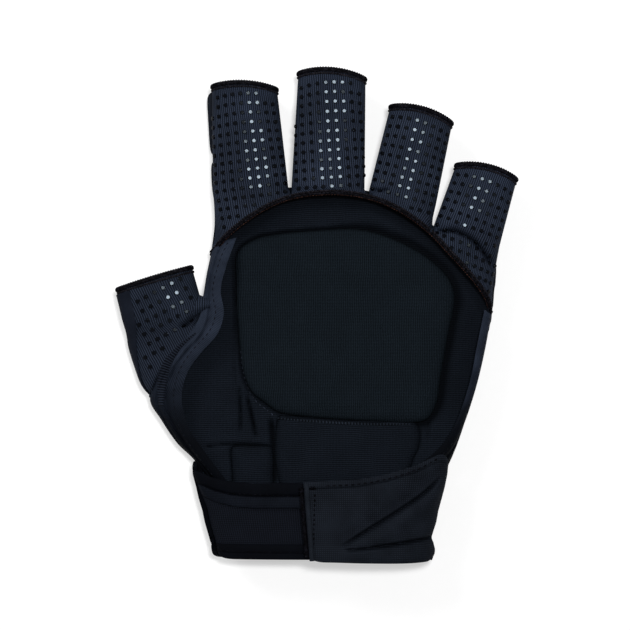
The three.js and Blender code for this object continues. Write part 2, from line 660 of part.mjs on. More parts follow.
function buildCuff() {
  const base = new THREE.Group();
  glove.add(base);
  const half = sewingGap / 2;
  const [from, to] = cuffBackTurns();
  addPiece(base, 'cuff_back', cuffLayer({
    from, to, low: () => 0, high: (u) => cuffSeam(lerp(from, to, u)), wall: shellWall, columns: cuffColumns, rows: 2,
  }), 'neoprene');
  const strapTurns = { from: layerTurns(0, { across: strapEnd }), to: 0.5 - layerTurns(0, { clear: half }) };
  const strapTop = (u) => cuffLength - strapDip * THREE.MathUtils.smoothstep(1 - u, 0, 0.6);
  const bindingLow = (u) => strapTop(u) - strapBindingWidth;
  addPiece(base, 'strap_top_binding', cuffLayer({
    ...strapTurns, low: bindingLow, high: strapTop, wall: strapWall, columns: 16, rows: 2,
  }), 'neoprene');
  addPiece(base, 'strap_elastic', cuffLayer({
    ...strapTurns, low: () => strapHemWidth + sewingGap, high: (u) => bindingLow(u) - sewingGap, wall: strapWall,
    columns: 16,
  }), 'elastic');
  addPiece(base, 'strap_bottom_binding', cuffLayer({
    ...strapTurns, low: () => 0, high: () => strapHemWidth, wall: strapWall, columns: 16, rows: 2,
  }), 'neoprene');
  const patchFrom = layerTurns(0, { across: flapEdge + patchMargin + patchLength });
  const patchTo = layerTurns(0, { across: flapEdge + patchMargin });
  const patchLow = () => strapHemWidth + patchMargin;
  const patchHigh = () => cuffLength - strapDip - strapBindingWidth - patchMargin;
  for (const [name, layers] of [['loop_patch', 1], ['hook_patch', 2]]) {
    addPiece(base, name, cuffLayer({
      lift: layers * patchLift, from: patchFrom, to: patchTo, low: patchLow, high: patchHigh, wall: patchWall,
      columns: 6, rows: 2,
    }), 'fastener');
  }
  buildFlap(base);
  const guardWidth = cuffBottomWidth / 2 - cuffGuardMargin;
  const guard = new THREE.Group();
  guard.position.x = cuffMiddleX(cuffLength / 2);
  base.add(guard);
  addPiece(guard, 'cuff_guard', digitGuard(guardWidth, cuffLength / 8, cuffLength * 0.9), 'guard');
}

// The flap goes from its hinge line on the outer side of the cuff to its free edge over the strap
function buildFlap(base) {
  const half = sewingGap / 2;
  const flapHinge = layerTurns(flapLift, { clear: half });
  const freeEdge = layerTurns(flapLift, { across: flapEdge });
  const bindingStart = layerTurns(flapLift, { across: flapEdge - sewingGap });
  const bindingEnd = layerTurns(flapLift, { across: flapEdge - sewingGap - flapBindingWidth });
  const top = (u) => cuffLength + sewingGap - flapDip * THREE.MathUtils.smoothstep(u, 0, 0.75);
  addPiece(base, 'flap_panel', cuffLayer({
    lift: flapLift, from: flapHinge, to: freeEdge, low: () => flapHemWidth + sewingGap, high: top, wall: flapWall,
    columns: 16, rows: 5,
  }), 'neoprene');
  addPiece(base, 'flap_bottom_hem', cuffLayer({
    lift: flapLift, from: flapHinge, to: freeEdge, low: () => 0, high: () => flapHemWidth, wall: flapWall,
    columns: 16, rows: 2,
  }), 'neoprene');
  addPiece(base, 'flap_edge_binding', cuffLayer({
    lift: flapLift + flapTrimWall - flapWall, from: bindingStart, to: bindingEnd, low: () => 0, high: () => top(1),
    wall: flapTrimWall, columns: 3, rows: 4,
  }), 'overlock');
}

for (const finger of fingers) {
  buildFinger(finger);
}
buildThumbTip();
buildHand();
buildCuff();

glove.updateMatrixWorld(true);
const middle = new THREE.Box3().setFromObject(glove, true).getCenter(new THREE.Vector3());
glove.position.set(-middle.x, -middle.y, 0);
glove.updateMatrixWorld(true);

export default glove;
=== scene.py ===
"""Field hockey glove for the left hand, palm side up, dressed for a plain studio picture.

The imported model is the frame. Each class below holds the sizes of one part of the glove and
makes its cloth, foam, thread and dots in the same place, in millimetres until a mesh is made.
"""
from __future__ import annotations

import logging
import math
import sys
from dataclasses import dataclass
from enum import Enum
from functools import cache
from typing import Callable, Sequence

import bmesh
import bpy
import numpy as np
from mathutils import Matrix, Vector
from mathutils.bvhtree import BVHTree

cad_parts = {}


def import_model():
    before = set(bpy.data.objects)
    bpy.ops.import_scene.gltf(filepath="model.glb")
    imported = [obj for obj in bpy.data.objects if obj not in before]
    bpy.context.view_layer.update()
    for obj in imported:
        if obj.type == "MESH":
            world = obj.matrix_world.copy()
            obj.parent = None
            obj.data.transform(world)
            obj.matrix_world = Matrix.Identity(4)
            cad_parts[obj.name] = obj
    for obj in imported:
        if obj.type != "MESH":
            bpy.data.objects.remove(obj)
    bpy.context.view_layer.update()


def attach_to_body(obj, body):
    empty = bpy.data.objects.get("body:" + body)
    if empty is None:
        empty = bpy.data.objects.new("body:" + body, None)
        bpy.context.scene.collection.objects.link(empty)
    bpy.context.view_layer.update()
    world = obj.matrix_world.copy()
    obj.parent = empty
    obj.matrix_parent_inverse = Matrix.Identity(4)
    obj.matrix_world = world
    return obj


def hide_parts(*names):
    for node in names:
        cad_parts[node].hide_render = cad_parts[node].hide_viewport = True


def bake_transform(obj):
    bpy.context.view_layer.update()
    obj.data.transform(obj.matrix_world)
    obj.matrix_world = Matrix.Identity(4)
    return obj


LOG = logging.getLogger("glove")
MM = 0.001
UP = np.array([0.0, 0.0, 1.0])
Array = np.ndarray
Colour = tuple[float, float, float]
Rows = tuple[tuple[float, ...], ...]
Formula = Callable[[Array], Array]
Bend = tuple[str, str, Array, Array]
Piece = bpy.types.Object
Material = bpy.types.Material
Socket = bpy.types.NodeSocket


class Slot(Enum):
    """The material slots, which each finish names."""

    GRIP_KNIT = "grip_knit"
    LINING = "knit_lining"
    THREAD = "overlock_thread"
    JERSEY = "smooth_jersey"
    ELASTIC = "ribbed_elastic"
    GUARD = "guard_foam"
    TAPE = "hook_and_loop"


# Lines and sections


def ease(value: Array | float, low: float = 0.0, high: float = 1.0) -> Array:
    """Shares that rise softly from 0 at low to 1 at high."""
    share = np.clip((np.asarray(value, float) - low) / (high - low), 0, 1)
    return share * share * (3 - 2 * share)


def bell(value: Array, middle: float, width: Array | float) -> Array:
    """A soft bump of height 1, this wide to both sides of its middle."""
    return np.exp(-(((value - middle) / width) ** 2))


def dome(value: Array, low: float, high: float) -> Array:
    """A round arch of height 1 between low and high, and 0 outside them."""
    share = np.clip((value - low) / (high - low), 0, 1)
    return np.sqrt(np.clip(1 - (2 * share - 1) ** 2, 0, 1))


def grid(columns: int, rows: int) -> tuple[Array, Array]:
    """The shares across and up of each point of a grid."""
    return np.meshgrid(np.linspace(0, 1, columns), np.linspace(0, 1, rows))


def turned(x: Array, y: Array, angle: float) -> tuple[Array, Array]:
    """Flat places turned by an angle in radians."""
    cosine, sine = math.cos(angle), math.sin(angle)
    return x * cosine - y * sine, x * sine + y * cosine


def mix(a: Array | float, b: Array | float, share: Array | float) -> Array:
    """Blend a into b by a share."""
    return np.asarray(a, float) + (np.asarray(b, float) - np.asarray(a, float)) * share


def unit(vectors: Array) -> Array:
    """Scale vectors to length one."""
    size = np.linalg.norm(vectors, axis=-1, keepdims=True)
    return vectors / np.maximum(size, 1e-9)


def oval(half_width: Array | float, half_height: Array | float, squareness: float, turns: Array) -> tuple:
    """Points across and up of a squared oval.

    Args:
        half_width: Half of its width.
        half_height: Half of its height.
        squareness: 2 for a plain oval, and more for squarer corners.
        turns: The angles, in turns from +X towards +Z.

    Returns:
        The across and up coordinates.
    """
    angle = np.asarray(turns) * 2 * math.pi
    across, up = (np.sign(part) * np.abs(part) ** (2 / squareness) for part in (np.cos(angle), np.sin(angle)))
    return half_width * across, half_height * up


class Line:
    """A smooth line through given points, as a sewn edge lies."""

    STEPS = 24
    REACH = 0.3

    def __init__(self, points: Sequence[Sequence[float]], closed: bool = False) -> None:
        """Lay the line.

        Args:
            points: The points that it passes through, flat or in space.
            closed: Whether it comes back to its start.
        """
        self.closed = closed
        given = np.asarray(points, float)
        if given.shape[1] == 2:
            given = np.column_stack([given, np.zeros(len(given))])
        if closed:
            laid = np.vstack([given[-1:], given, given[:2]])
        else:
            laid = np.vstack([2 * given[:1] - given[1:2], given, 2 * given[-1:] - given[-2:-1]])
        pieces = [self._stretch(*laid[start : start + 4]) for start in range(len(laid) - 3)]
        pieces.append(laid[-2:-1])
        self.table = np.vstack(pieces)
        self.stops = np.linspace(0, 1, len(self.table))
        steps = np.linalg.norm(np.diff(self.table, axis=0), axis=1)
        self.arcs = np.concatenate([[0], np.cumsum(steps)])
        self.length = float(self.arcs[-1])

    def _stretch(self, a: Array, b: Array, c: Array, d: Array) -> Array:
        """The points of the line from b up to c, with a and d as its neighbours."""
        before, here, after = (
            max(float(np.linalg.norm(q - p)), 1e-6) ** 0.5 for p, q in ((a, b), (b, c), (c, d))
        )
        leave = ((b - a) / before - (c - a) / (before + here) + (c - b) / here) * here
        reach = ((c - b) / here - (d - b) / (here + after) + (d - c) / after) * here
        s = np.linspace(0, 1, self.STEPS, endpoint=False)[:, None]
        return (
            b * (2 * s**3 - 3 * s**2 + 1)
            + leave * (s**3 - 2 * s**2 + s)
            + c * (3 * s**2 - 2 * s**3)
            + reach * (s**3 - s**2)
        )

    def at(self, stops: Array | float) -> Array:
        """The points at these stops, from 0 at its start to 1 at its end."""
        return np.stack([np.interp(stops, self.stops, self.table[:, k]) for k in range(3)], -1)

    def along(self, arcs: Array | float) -> Array:
        """The points at these distances along it."""
        return np.stack([np.interp(arcs, self.arcs, self.table[:, k]) for k in range(3)], -1)

    def stations(self, count: int) -> Array:
        """As many distances at even steps along it, without its end where it is closed."""
        return np.linspace(0, self.length, count, endpoint=not self.closed)

    def evenly(self, count: int) -> Array:
        """As many points at even steps along it."""
        return self.along(self.stations(count))

    def heading(self, arcs: Array) -> Array:
        """The directions of its run at these distances along it."""
        before, after = arcs - self.REACH, arcs + self.REACH
        if self.closed:
            before, after = before % self.length, after % self.length
        return unit(self.along(after) - self.along(before))


def distance_to(points: Array, line: Array) -> tuple[Array, Array]:
    """How far points lie from a flat line, and on which side.

    Args:
        points: The points, of which X and Y count.
        line: The line's points, close together.

    Returns:
        The distance, positive to the left of the line's run, and the share along the line.
    """
    flat = points[..., :2].reshape(-1, 2)
    start, run = line[:-1, :2], np.diff(line[:, :2], axis=0)
    size = np.maximum((run**2).sum(1), 1e-9)
    share = np.clip(((flat[:, None] - start) * run).sum(2) / size, 0, 1)
    apart = flat[:, None] - (start + share[..., None] * run)
    gaps = np.linalg.norm(apart, axis=2)
    best = gaps.argmin(1)
    rows = np.arange(len(flat))
    side = np.sign(run[best, 0] * apart[rows, best, 1] - run[best, 1] * apart[rows, best, 0])
    place = (best + share[rows, best]) / len(run)
    shape = points.shape[:-1]
    return (gaps[rows, best] * side).reshape(shape), place.reshape(shape)


def signed_area(outline: Array) -> float:
    """Twice the area inside a closed outline, positive where it runs to the left."""
    ahead = np.roll(outline, -1, axis=0)
    return float(np.sum(outline[:, 0] * ahead[:, 1] - ahead[:, 0] * outline[:, 1]))


def depth_inside(points: Array, outline: Array) -> Array:
    """How far points lie inside a closed outline, negative where they are outside it."""
    gap, _ = distance_to(points, np.vstack([outline, outline[:1]]))
    return gap * math.copysign(1, signed_area(outline))


def leftward(ways: Array) -> Array:
    """The flat directions to the left of these ones."""
    return np.stack([-ways[:, 1], ways[:, 0]], -1)


@dataclass(frozen=True)
class Crease:
    """A fold in cloth: a sharp valley with a soft swell beside it."""

    points: tuple[tuple[float, float], ...]
    depth: float
    width: float
    swell: float = 0.0
    swell_width: float = 3.0
    dip: float = 0.0
    dip_width: float = 6.0
    overhang: float = 0.0

    def measure(self, places: Array) -> tuple[Array, Array]:
        """How far places lie to the left of the fold, and how strong it is beside them."""
        gap, place = distance_to(places, Line(self.points).evenly(40))
        return gap, ease(place, 0.0, 0.18) * (1 - ease(place, 0.8, 1.0))

    def lean(self, places: Array) -> Array:
        """How far the swell hangs over the valley in the plan, at these places."""
        gap, fade = self.measure(places)
        steps = 0.05 * np.eye(3)[:2]
        slope = [self.measure(places + step)[0] - self.measure(places - step)[0] for step in steps]
        away = unit(np.stack([*slope, np.zeros_like(gap)], -1) + 1e-9)
        amount = -self.overhang * bell(gap, self.width, 1.6 * self.width) * fade
        return away * amount[..., None]

    def rise(self, places: Array) -> Array:
        """How far the fold lifts the cloth at these places."""
        gap, fade = self.measure(places)
        near = bell(gap, 0, self.width)
        bulge = self.swell * bell(gap, self.swell_width, self.swell_width)
        slope = self.dip * np.where(gap < 0, bell(gap, 0, self.dip_width), near)
        return (bulge - self.depth * near - slope) * fade


def facing(points: Array) -> Array:
    """The direction square to each point of a grid, out of its front."""
    return unit(np.cross(np.gradient(points, axis=1), np.gradient(points, axis=0)))


# Making meshes


def clear_selection() -> None:
    """Deselect everything, the frame's own nodes among it."""
    for item in list(bpy.context.selected_objects):
        item.select_set(False)


def make_active(piece: Piece) -> None:
    """Select one piece alone."""
    clear_selection()
    piece.select_set(True)
    bpy.context.view_layer.objects.active = piece


def apply_modifiers(piece: Piece) -> None:
    """Apply every modifier of a piece, in order."""
    make_active(piece)
    for modifier in list(piece.modifiers):
        bpy.ops.object.modifier_apply(modifier=modifier.name)


def new_piece(name: str, mesh: bpy.types.Mesh) -> Piece:
    """Put a mesh into the scene, at the origin, unturned and unscaled."""
    piece = bpy.data.objects.new(name, mesh)
    bpy.context.scene.collection.objects.link(piece)
    return piece


def smooth(piece: Piece, angle: float) -> Piece:
    """Shade a piece smoothly, apart from edges sharper than this angle in degrees."""
    make_active(piece)
    bpy.ops.object.shade_smooth_by_angle(angle=math.radians(angle))
    return piece


class Cloth:
    """Patches of one piece, which are joined where they meet."""

    JOIN = 0.004

    def __init__(self, name: str) -> None:
        """Start the piece of this name, with no patches."""
        self.name = name
        self.points: list[Array] = []
        self.faces: list[Array] = []
        self.weave: list[Array] = []
        self.count = 0

    def patch(self, points: Array, weave: Array | None = None, flip: bool = False) -> Cloth:
        """Add a grid of quads.

        Args:
            points: Rows of columns of points.
            weave: Each point's place on the flat cloth. It is the plan where none is given.
            flip: Whether the grid's front is its other side.

        Returns:
            The cloth itself.
        """
        rows, columns = points.shape[:2]
        index = self.count + np.arange(rows * columns).reshape(rows, columns)
        quads = np.stack([index[:-1, :-1], index[:-1, 1:], index[1:, 1:], index[1:, :-1]], -1).reshape(-1, 4)
        self.points.append(points.reshape(-1, 3))
        self.faces.append(quads[:, ::-1] if flip else quads)
        self.weave.append((points[..., :2] if weave is None else weave).reshape(-1, 2))
        self.count += rows * columns
        return self

    def rings(self, rings: Array, flip: bool = False, close: bool = True) -> Cloth:
        """Add rings of points, each joined to the next, with a cap at both ends.

        Args:
            rings: Rings of points, of the same count.
            flip: Whether the front is the other side.
            close: Whether the first and last rings get a cap.

        Returns:
            The cloth itself.
        """
        around = np.concatenate([rings, rings[:, :1]], axis=1)
        if close:
            first, last = (np.broadcast_to(r[:-1].mean(0), r.shape)[None] for r in (around[0], around[-1]))
            around = np.concatenate([first, around, last])
        return self.patch(around, flip=flip)

    def finish(self, wall: float = 0.0, angle: float = 50.0) -> Piece:
        """Make the piece.

        Args:
            wall: The thickness that it gets behind its front, or 0 where it is closed already.
            angle: The sharpest edge that still shades smoothly, in degrees.

        Returns:
            The piece, at the origin, unturned and unscaled.
        """
        points = np.vstack(self.points) * MM
        weave = np.vstack(self.weave)
        faces = np.vstack(self.faces)
        mesh = bpy.data.meshes.new(self.name)
        mesh.from_pydata(points.tolist(), [], faces.tolist())
        layer = mesh.uv_layers.new(name="weave")
        layer.data.foreach_set("uv", weave[faces.reshape(-1)].astype(np.float32).reshape(-1))
        tidy = bmesh.new()
        tidy.from_mesh(mesh)
        bmesh.ops.remove_doubles(tidy, verts=tidy.verts, dist=self.JOIN * MM)
        bmesh.ops.dissolve_degenerate(tidy, edges=tidy.edges, dist=self.JOIN * MM / 4)
        tidy.to_mesh(mesh)
        tidy.free()
        piece = new_piece(self.name, mesh)
        if wall:
            solid = piece.modifiers.new("wall", "SOLIDIFY")
            solid.thickness = wall * MM
            solid.offset = -1
            apply_modifiers(piece)
        return smooth(piece, angle)


class Surface:
    """Made pieces, asked where their nearest face lies over a place in the plan."""

    REACH = 90.0

    def __init__(self, *pieces: Piece) -> None:
        """Read the pieces' meshes."""
        points: list = []
        faces: list = []
        for piece in pieces:
            start = len(points)
            points.extend(v.co.copy() for v in piece.data.vertices)
            faces.extend([start + v for v in face.vertices] for face in piece.data.polygons)
        self.tree = BVHTree.FromPolygons(points, faces)

    def drop(self, places: Array) -> tuple[Array, Array, Array]:
        """Find the faces over these places.

        Args:
            places: Points, of which X and Y count.

        Returns:
            Which places were found, the points there, and the directions square to the face.
        """
        found, points, normals = [], [], []
        for x, y in places[:, :2]:
            start = Vector((x * MM, y * MM, self.REACH * MM))
            spot, normal, _, _ = self.tree.ray_cast(start, Vector((0, 0, -1)))
            found.append(spot is not None)
            points.append(tuple(spot / MM) if spot else (0, 0, 0))
            normals.append(tuple(-normal if normal.z < 0 else normal) if spot else (0, 0, 1))
        return np.array(found), np.array(points, float), np.array(normals, float)


class Template:
    """A small shape that is modelled once and then set in many places."""

    def __init__(self, model: Piece) -> None:
        """Keep the mesh of a model in millimetres at the origin, and remove its object."""
        self.points = np.array([tuple(v.co) for v in model.data.vertices])
        self.faces = [list(face.vertices) for face in model.data.polygons]
        mesh = model.data
        bpy.data.objects.remove(model)
        bpy.data.meshes.remove(mesh)

    def set_at(
        self, name: str, places: Array, normals: Array, headings: Array, scales: Array | Colour
    ) -> Piece:
        """Set copies of the shape, as one piece.

        Args:
            name: The piece's name.
            places: Where each copy's origin goes.
            normals: Where each copy's +Z points.
            headings: Where each copy's +X points, about.
            scales: Each copy's scale along its own three axes, or one for all.

        Returns:
            The piece.
        """
        up = unit(normals)
        side = unit(np.cross(up, headings))
        ahead = np.cross(side, up)
        scales = np.broadcast_to(np.asarray(scales, float), (len(places), 3))
        axes = np.stack([ahead, side, up], 1)
        local = self.points[None] * scales[:, None]
        points = np.einsum("npk,nkd->npd", local, axes) + places[:, None]
        shift = (np.arange(len(places)) * len(self.points)).tolist()
        faces = [[at + v for v in face] for at in shift for face in self.faces]
        mesh = bpy.data.meshes.new(name)
        mesh.from_pydata((points.reshape(-1, 3) * MM).tolist(), [], faces)
        return smooth(new_piece(name, mesh), 50)


@cache
def stitch() -> Template:
    """Model one sewn stitch, 1 mm long and thick: a short thread, half of it sunk in the cloth."""
    clear_selection()
    bpy.ops.mesh.primitive_uv_sphere_add(segments=8, ring_count=6, radius=0.5)
    bpy.ops.object.mode_set(mode="EDIT")
    bpy.ops.mesh.select_all(action="SELECT")
    bpy.ops.transform.rotate(value=math.pi / 2, orient_axis="Y", center_override=(0, 0, 0))
    bpy.ops.object.mode_set(mode="OBJECT")
    return Template(bpy.context.active_object)


def model_pin(sides: int, radius: float, steps: Rows) -> Template:
    """Model a small shape that is drawn up from a disc in steps.

    Args:
        sides: The disc's sides.
        radius: The disc's radius.
        steps: Each step's way aside and up, and how far it then shrinks and turns over.

    Returns:
        The shape.
    """
    clear_selection()
    bpy.ops.mesh.primitive_circle_add(vertices=sides, radius=radius, fill_type="NGON")
    bpy.ops.object.mode_set(mode="EDIT")
    bpy.ops.mesh.select_all(action="SELECT")
    reach, height = 0.0, 0.0
    for aside, rise, shrink, turn in steps:
        bpy.ops.mesh.extrude_region_move(TRANSFORM_OT_translate={"value": (aside, 0, rise)})
        reach, height = reach + aside, height + rise
        middle = (reach, 0, height)
        bpy.ops.transform.resize(value=(shrink, shrink, 1), center_override=middle)
        bpy.ops.transform.rotate(value=-math.radians(turn), orient_axis="Y", center_override=middle)
    bpy.ops.mesh.select_all(action="SELECT")
    bpy.ops.mesh.normals_make_consistent(inside=False)
    bpy.ops.object.mode_set(mode="OBJECT")
    return Template(bpy.context.active_object)


@cache
def dot() -> Template:
    """Model one silicone grip dot, 1 mm across: a low drop with a flat top."""
    steps = ((0, 0.9, 1, 0), (0, 0.5, 0.96, 0), (0, 0.2, 0.88, 0), (0, 0.05, 0.94, 0), (0, 0, 0.96, 0))
    return model_pin(14, 0.5, steps)


@cache
def hook() -> Template:
    """Model one hook of the fastener, about 1 mm high: a stalk that bends over at its top."""
    bends = ((0.07, 0.3, 1, 35), (0.26, 0.16, 1, 45), (0.22, -0.12, 1, 50), (0.08, -0.22, 1, 30))
    return model_pin(5, 0.16, ((0, 0.7, 1, 0), *bends))


@dataclass(frozen=True)
class Rope:
    """An overlocked edge or thread: a round roll with slanted turns of thread round it."""

    across: float
    up: float
    pitch: float
    ridge: float
    slant: float = 1.0
    sides: int = 12
    per_turn: int = 5

    def make(self, name: str, line: Line, ups: Formula) -> Piece:
        """Wind the rope along a line.

        Args:
            name: The piece's name.
            line: Where its middle runs.
            ups: Gives the direction out of the cloth at points of the line.

        Returns:
            The piece.
        """
        turns = max(round(line.length / self.pitch), 8)
        count = turns * self.per_turn
        arcs = line.stations(count)
        middle = line.along(arcs)
        heading = line.heading(arcs)
        up = ups(middle)
        side = unit(np.cross(heading, up))
        up = np.cross(side, heading)
        angle = np.arange(self.sides) / self.sides * 2 * math.pi
        phase = arcs[:, None] / line.length * turns * 2 * math.pi + self.slant * np.cos(angle)[None] * math.pi
        swell = 1 + self.ridge * np.cos(phase)
        rings = (
            middle[:, None]
            + side[:, None] * (np.cos(angle) * self.across * swell)[..., None]
            + up[:, None] * (np.sin(angle) * self.up * swell)[..., None]
        )
        if line.closed:
            rings = np.concatenate([rings, rings[:1]])
        return Cloth(name).rings(rings, flip=True, close=not line.closed).finish(angle=80)


def sew(
    name: str,
    surface: Surface,
    points: Rows | Array,
    length: float = 1.7,
    gap: float = 0.9,
    thickness: float = 0.55,
) -> Piece:
    """Sew a row of stitches over a surface.

    Args:
        name: The piece's name.
        surface: What they are sewn on.
        points: The row's way in the plan.
        length: A stitch's length.
        gap: The way between two stitches.
        thickness: The thread's thickness.

    Returns:
        The stitches, as one piece.
    """
    line = Line(points)
    middles = np.arange((length + gap) / 2, line.length, length + gap)
    heading = line.heading(middles)
    found, spots, normals = surface.drop(line.along(middles))
    scales = (length, thickness, thickness * 0.8)
    return stitch().set_at(name, spots[found], normals[found], heading[found], scales)


def overlock(name: str, surface: Surface, points: Rows, widths: Sequence[float], pitch: float) -> Piece:
    """Lay a strip of close overlock stitches along a seam.

    Args:
        name: The piece's name.
        surface: What it is sewn on.
        points: The seam's way in the plan.
        widths: The strip's widths, evenly along the seam.
        pitch: The way from a stitch to the next.

    Returns:
        The strip, ridged across.
    """
    line = Line(points)
    steps = np.linspace(0, line.length, round(line.length / 0.18) + 1)
    heading = line.heading(steps)
    width = np.interp(steps / line.length, np.linspace(0, 1, len(widths)), widths)
    v = np.linspace(-1, 1, 11)
    side = leftward(heading)
    places = line.along(steps)[:, None, :2] + side[:, None] * (width[:, None] / 2 * v)[..., None]
    found, spots, _ = surface.drop(places.reshape(-1, 2))
    z = np.where(found, spots[:, 2], 0).reshape(places.shape[:2])
    z = np.where(z == 0, z.max(axis=1, keepdims=True) - 0.5, z)
    padded = np.pad(z, ((6, 6), (0, 0)), "edge")
    z = np.max([padded[k : k + len(z)] for k in range(13)], axis=0)
    z = np.stack([np.convolve(np.pad(column, 4, "edge"), np.ones(9) / 9, "valid") for column in z.T], -1)
    turn = 2 * math.pi * (steps[:, None] + 0.35 * v * pitch) / pitch
    ends = ease(np.minimum(steps, line.length - steps), 0, 1.0)[:, None]
    fade = np.sqrt(np.clip(1 - v**4, 0, 1)) * ends
    z = z + (0.1 + 0.3 * np.sqrt(0.5 + 0.5 * np.cos(turn))) * fade - 0.5 * v**6
    weave = np.broadcast_to(np.stack([steps[:, None] + 0 * v, width[:, None] * v], -1), (*z.shape, 2))
    return Cloth(name).patch(np.concatenate([places, z[..., None]], -1), weave, flip=True).finish(0.5)


# The pattern of the glove


@dataclass(frozen=True)
class Layers:
    """Heights over the surface that the glove lies on."""

    wall: float = 1.2
    tube_floor: float = 7.3
    tube_height: float = 14.0
    seat: float = 9.6
    squareness: float = 2.5

    @property
    def middle(self) -> float:
        """The height of the sleeves' middle."""
        return self.tube_floor + self.tube_height / 2

    @property
    def top(self) -> float:
        """The height of the sleeves' palm side."""
        return self.tube_floor + self.tube_height


LAYERS = Layers()


@dataclass(frozen=True)
class HandPlan:
    """The hand's plan: shares of its breadth and length become millimetres."""

    breadth: float = 117.77
    length: float = 115.0
    left: float = -40.826
    cuff_top: float = -62.237

    def place(self, x: float, y: float, z: float = 0.0) -> tuple[float, float, float]:
        """A place on the hand from its two shares and its height."""
        return (x * self.breadth + self.left, y * self.length + self.cuff_top, z)

    def flat(self, rows: Sequence[Sequence[float]]) -> list[tuple[float, float]]:
        """Places in the plan from rows of two shares."""
        return [self.place(x, y)[:2] for x, y in rows]

    def line(self, rows: Sequence[Sequence[float]]) -> Line:
        """A line through rows of two shares and a rise from the seat to the sleeves' tops."""
        return Line([self.place(x, y, mix(LAYERS.seat, LAYERS.top, rise)) for x, y, rise in rows])


PLAN = HandPlan()

HEM_ROWS = (
    (-0.028, 0.762, 0.12), (0.048, 0.845, 0.76), (0.164, 0.928, 0.94), (0.263, 0.97, 0.86),
    (0.413, 0.986, 0.95), (0.541, 0.969, 0.86), (0.651, 0.922, 0.94), (0.755, 0.845, 0.84),
    (0.829, 0.765, 0.93), (0.904, 0.68, 0.93), (0.954, 0.612, 0.72), (0.983, 0.543, 0.12),
)
HEM = PLAN.line(HEM_ROWS)
SEAM_SINK = 0.25


@dataclass(frozen=True)
class Digit:
    """One finger's or the thumb's sleeve."""

    name: str
    tilt: float
    base: tuple[float, float]
    base_width: float
    tip_width: float
    proximal: float
    length: float
    grain: float
    drops: tuple[float, float] = (0.0, 0.0)
    hem_stops: tuple[float, float] = (0.0, 1.0)
    outer: int = 0
    bow: float = 2.4
    slant: float = 0.0

    @property
    def along(self) -> Array:
        """The direction from the base to the tip."""
        lean = math.radians(self.tilt)
        return np.array([math.sin(lean), math.cos(lean), 0.0])

    @property
    def across(self) -> Array:
        """The direction to the right of the sleeve."""
        return np.array([self.along[1], -self.along[0], 0.0])

    @property
    def knit_lean(self) -> float:
        """How far the knit's grain leans from the sleeve's middle, in radians."""
        return math.radians(self.grain - self.tilt)

    @property
    def split(self) -> float:
        """Where the cloth of the base ends and that of the tip begins."""
        return min(6.0, self.proximal / 2 + 0.4)

    def point(self, x: Array | float, y: Array | float, z: Array | float) -> Array:
        """A point from its place across and along the sleeve, and its height."""
        x, y, z = np.broadcast_arrays(np.asarray(x, float), y, z)
        flat = np.array([*self.base, 0.0]) + x[..., None] * self.across + y[..., None] * self.along
        return flat + z[..., None] * UP

    def half_width(self, y: Array | float) -> Array:
        """Half of the sleeve's width at a distance from its base."""
        return mix(self.base_width, self.tip_width, np.maximum(y, 0) / self.length) / 2

    def ring(self, turns: Array, y: Array) -> Array:
        """Points round the sleeve, whose mouth bows forward."""
        half = self.half_width(y)
        x, z = oval(half, LAYERS.tube_height / 2, LAYERS.squareness, turns)
        mouth = self.proximal * 0.6
        bow = (self.bow * (1 - (x / half) ** 2) - self.slant * x / half) * ease(y, mouth, self.length)
        return self.point(x, y + bow, LAYERS.middle + z)


FINGERS = (
    Digit(
        "index", -3.4, (-27.2, 53.524), 31.8, 27.2, 14.0, 43.2, -7.0,
        drops=(0, 0.3), hem_stops=(0, 3 / 11), outer=-1, bow=1.9, slant=1.4,
    ),
    Digit(
        "middle", 2.0, (5.5, 53.809), 30.8, 28.4, 14.6, 47.8, -4.0,
        drops=(0.3, 0.3), hem_stops=(3 / 11, 5 / 11), slant=0.7,
    ),
    Digit(
        "ring", 12.8, (36.933, 49.75), 28.8, 27.0, 12.0, 36.4, 15.0,
        drops=(0.3, 9.2), hem_stops=(5 / 11, 7 / 11), slant=0.6,
    ),
    Digit(
        "little", 17.2, (63.9, 33.19), 29.0, 26.2, 9.6, 29.2, 21.0,
        drops=(0.3, 0), hem_stops=(7 / 11, 1), outer=1, slant=-0.8,
    ),
)
THUMB = Digit("thumb", -14.6, (-64.38, 2.623), 33.4, 32.9, 13.6, 14.2, -28.0, outer=-1, bow=0.4, slant=-0.7)


def set_level(normals: Array, spots: Array) -> Array:
    """Where the cloth is nearly level, the ways the dots' flat tops face, most of them alike."""
    lean = np.array([0.045, 0.065]) - 0.00107 * spots[:, :2]
    flat_way = unit(np.column_stack([lean, np.ones(len(spots))]))
    weight = 0.52 * ease(normals[:, 2], 0.88, 0.975)
    return unit(mix(normals, flat_way, weight[:, None]))


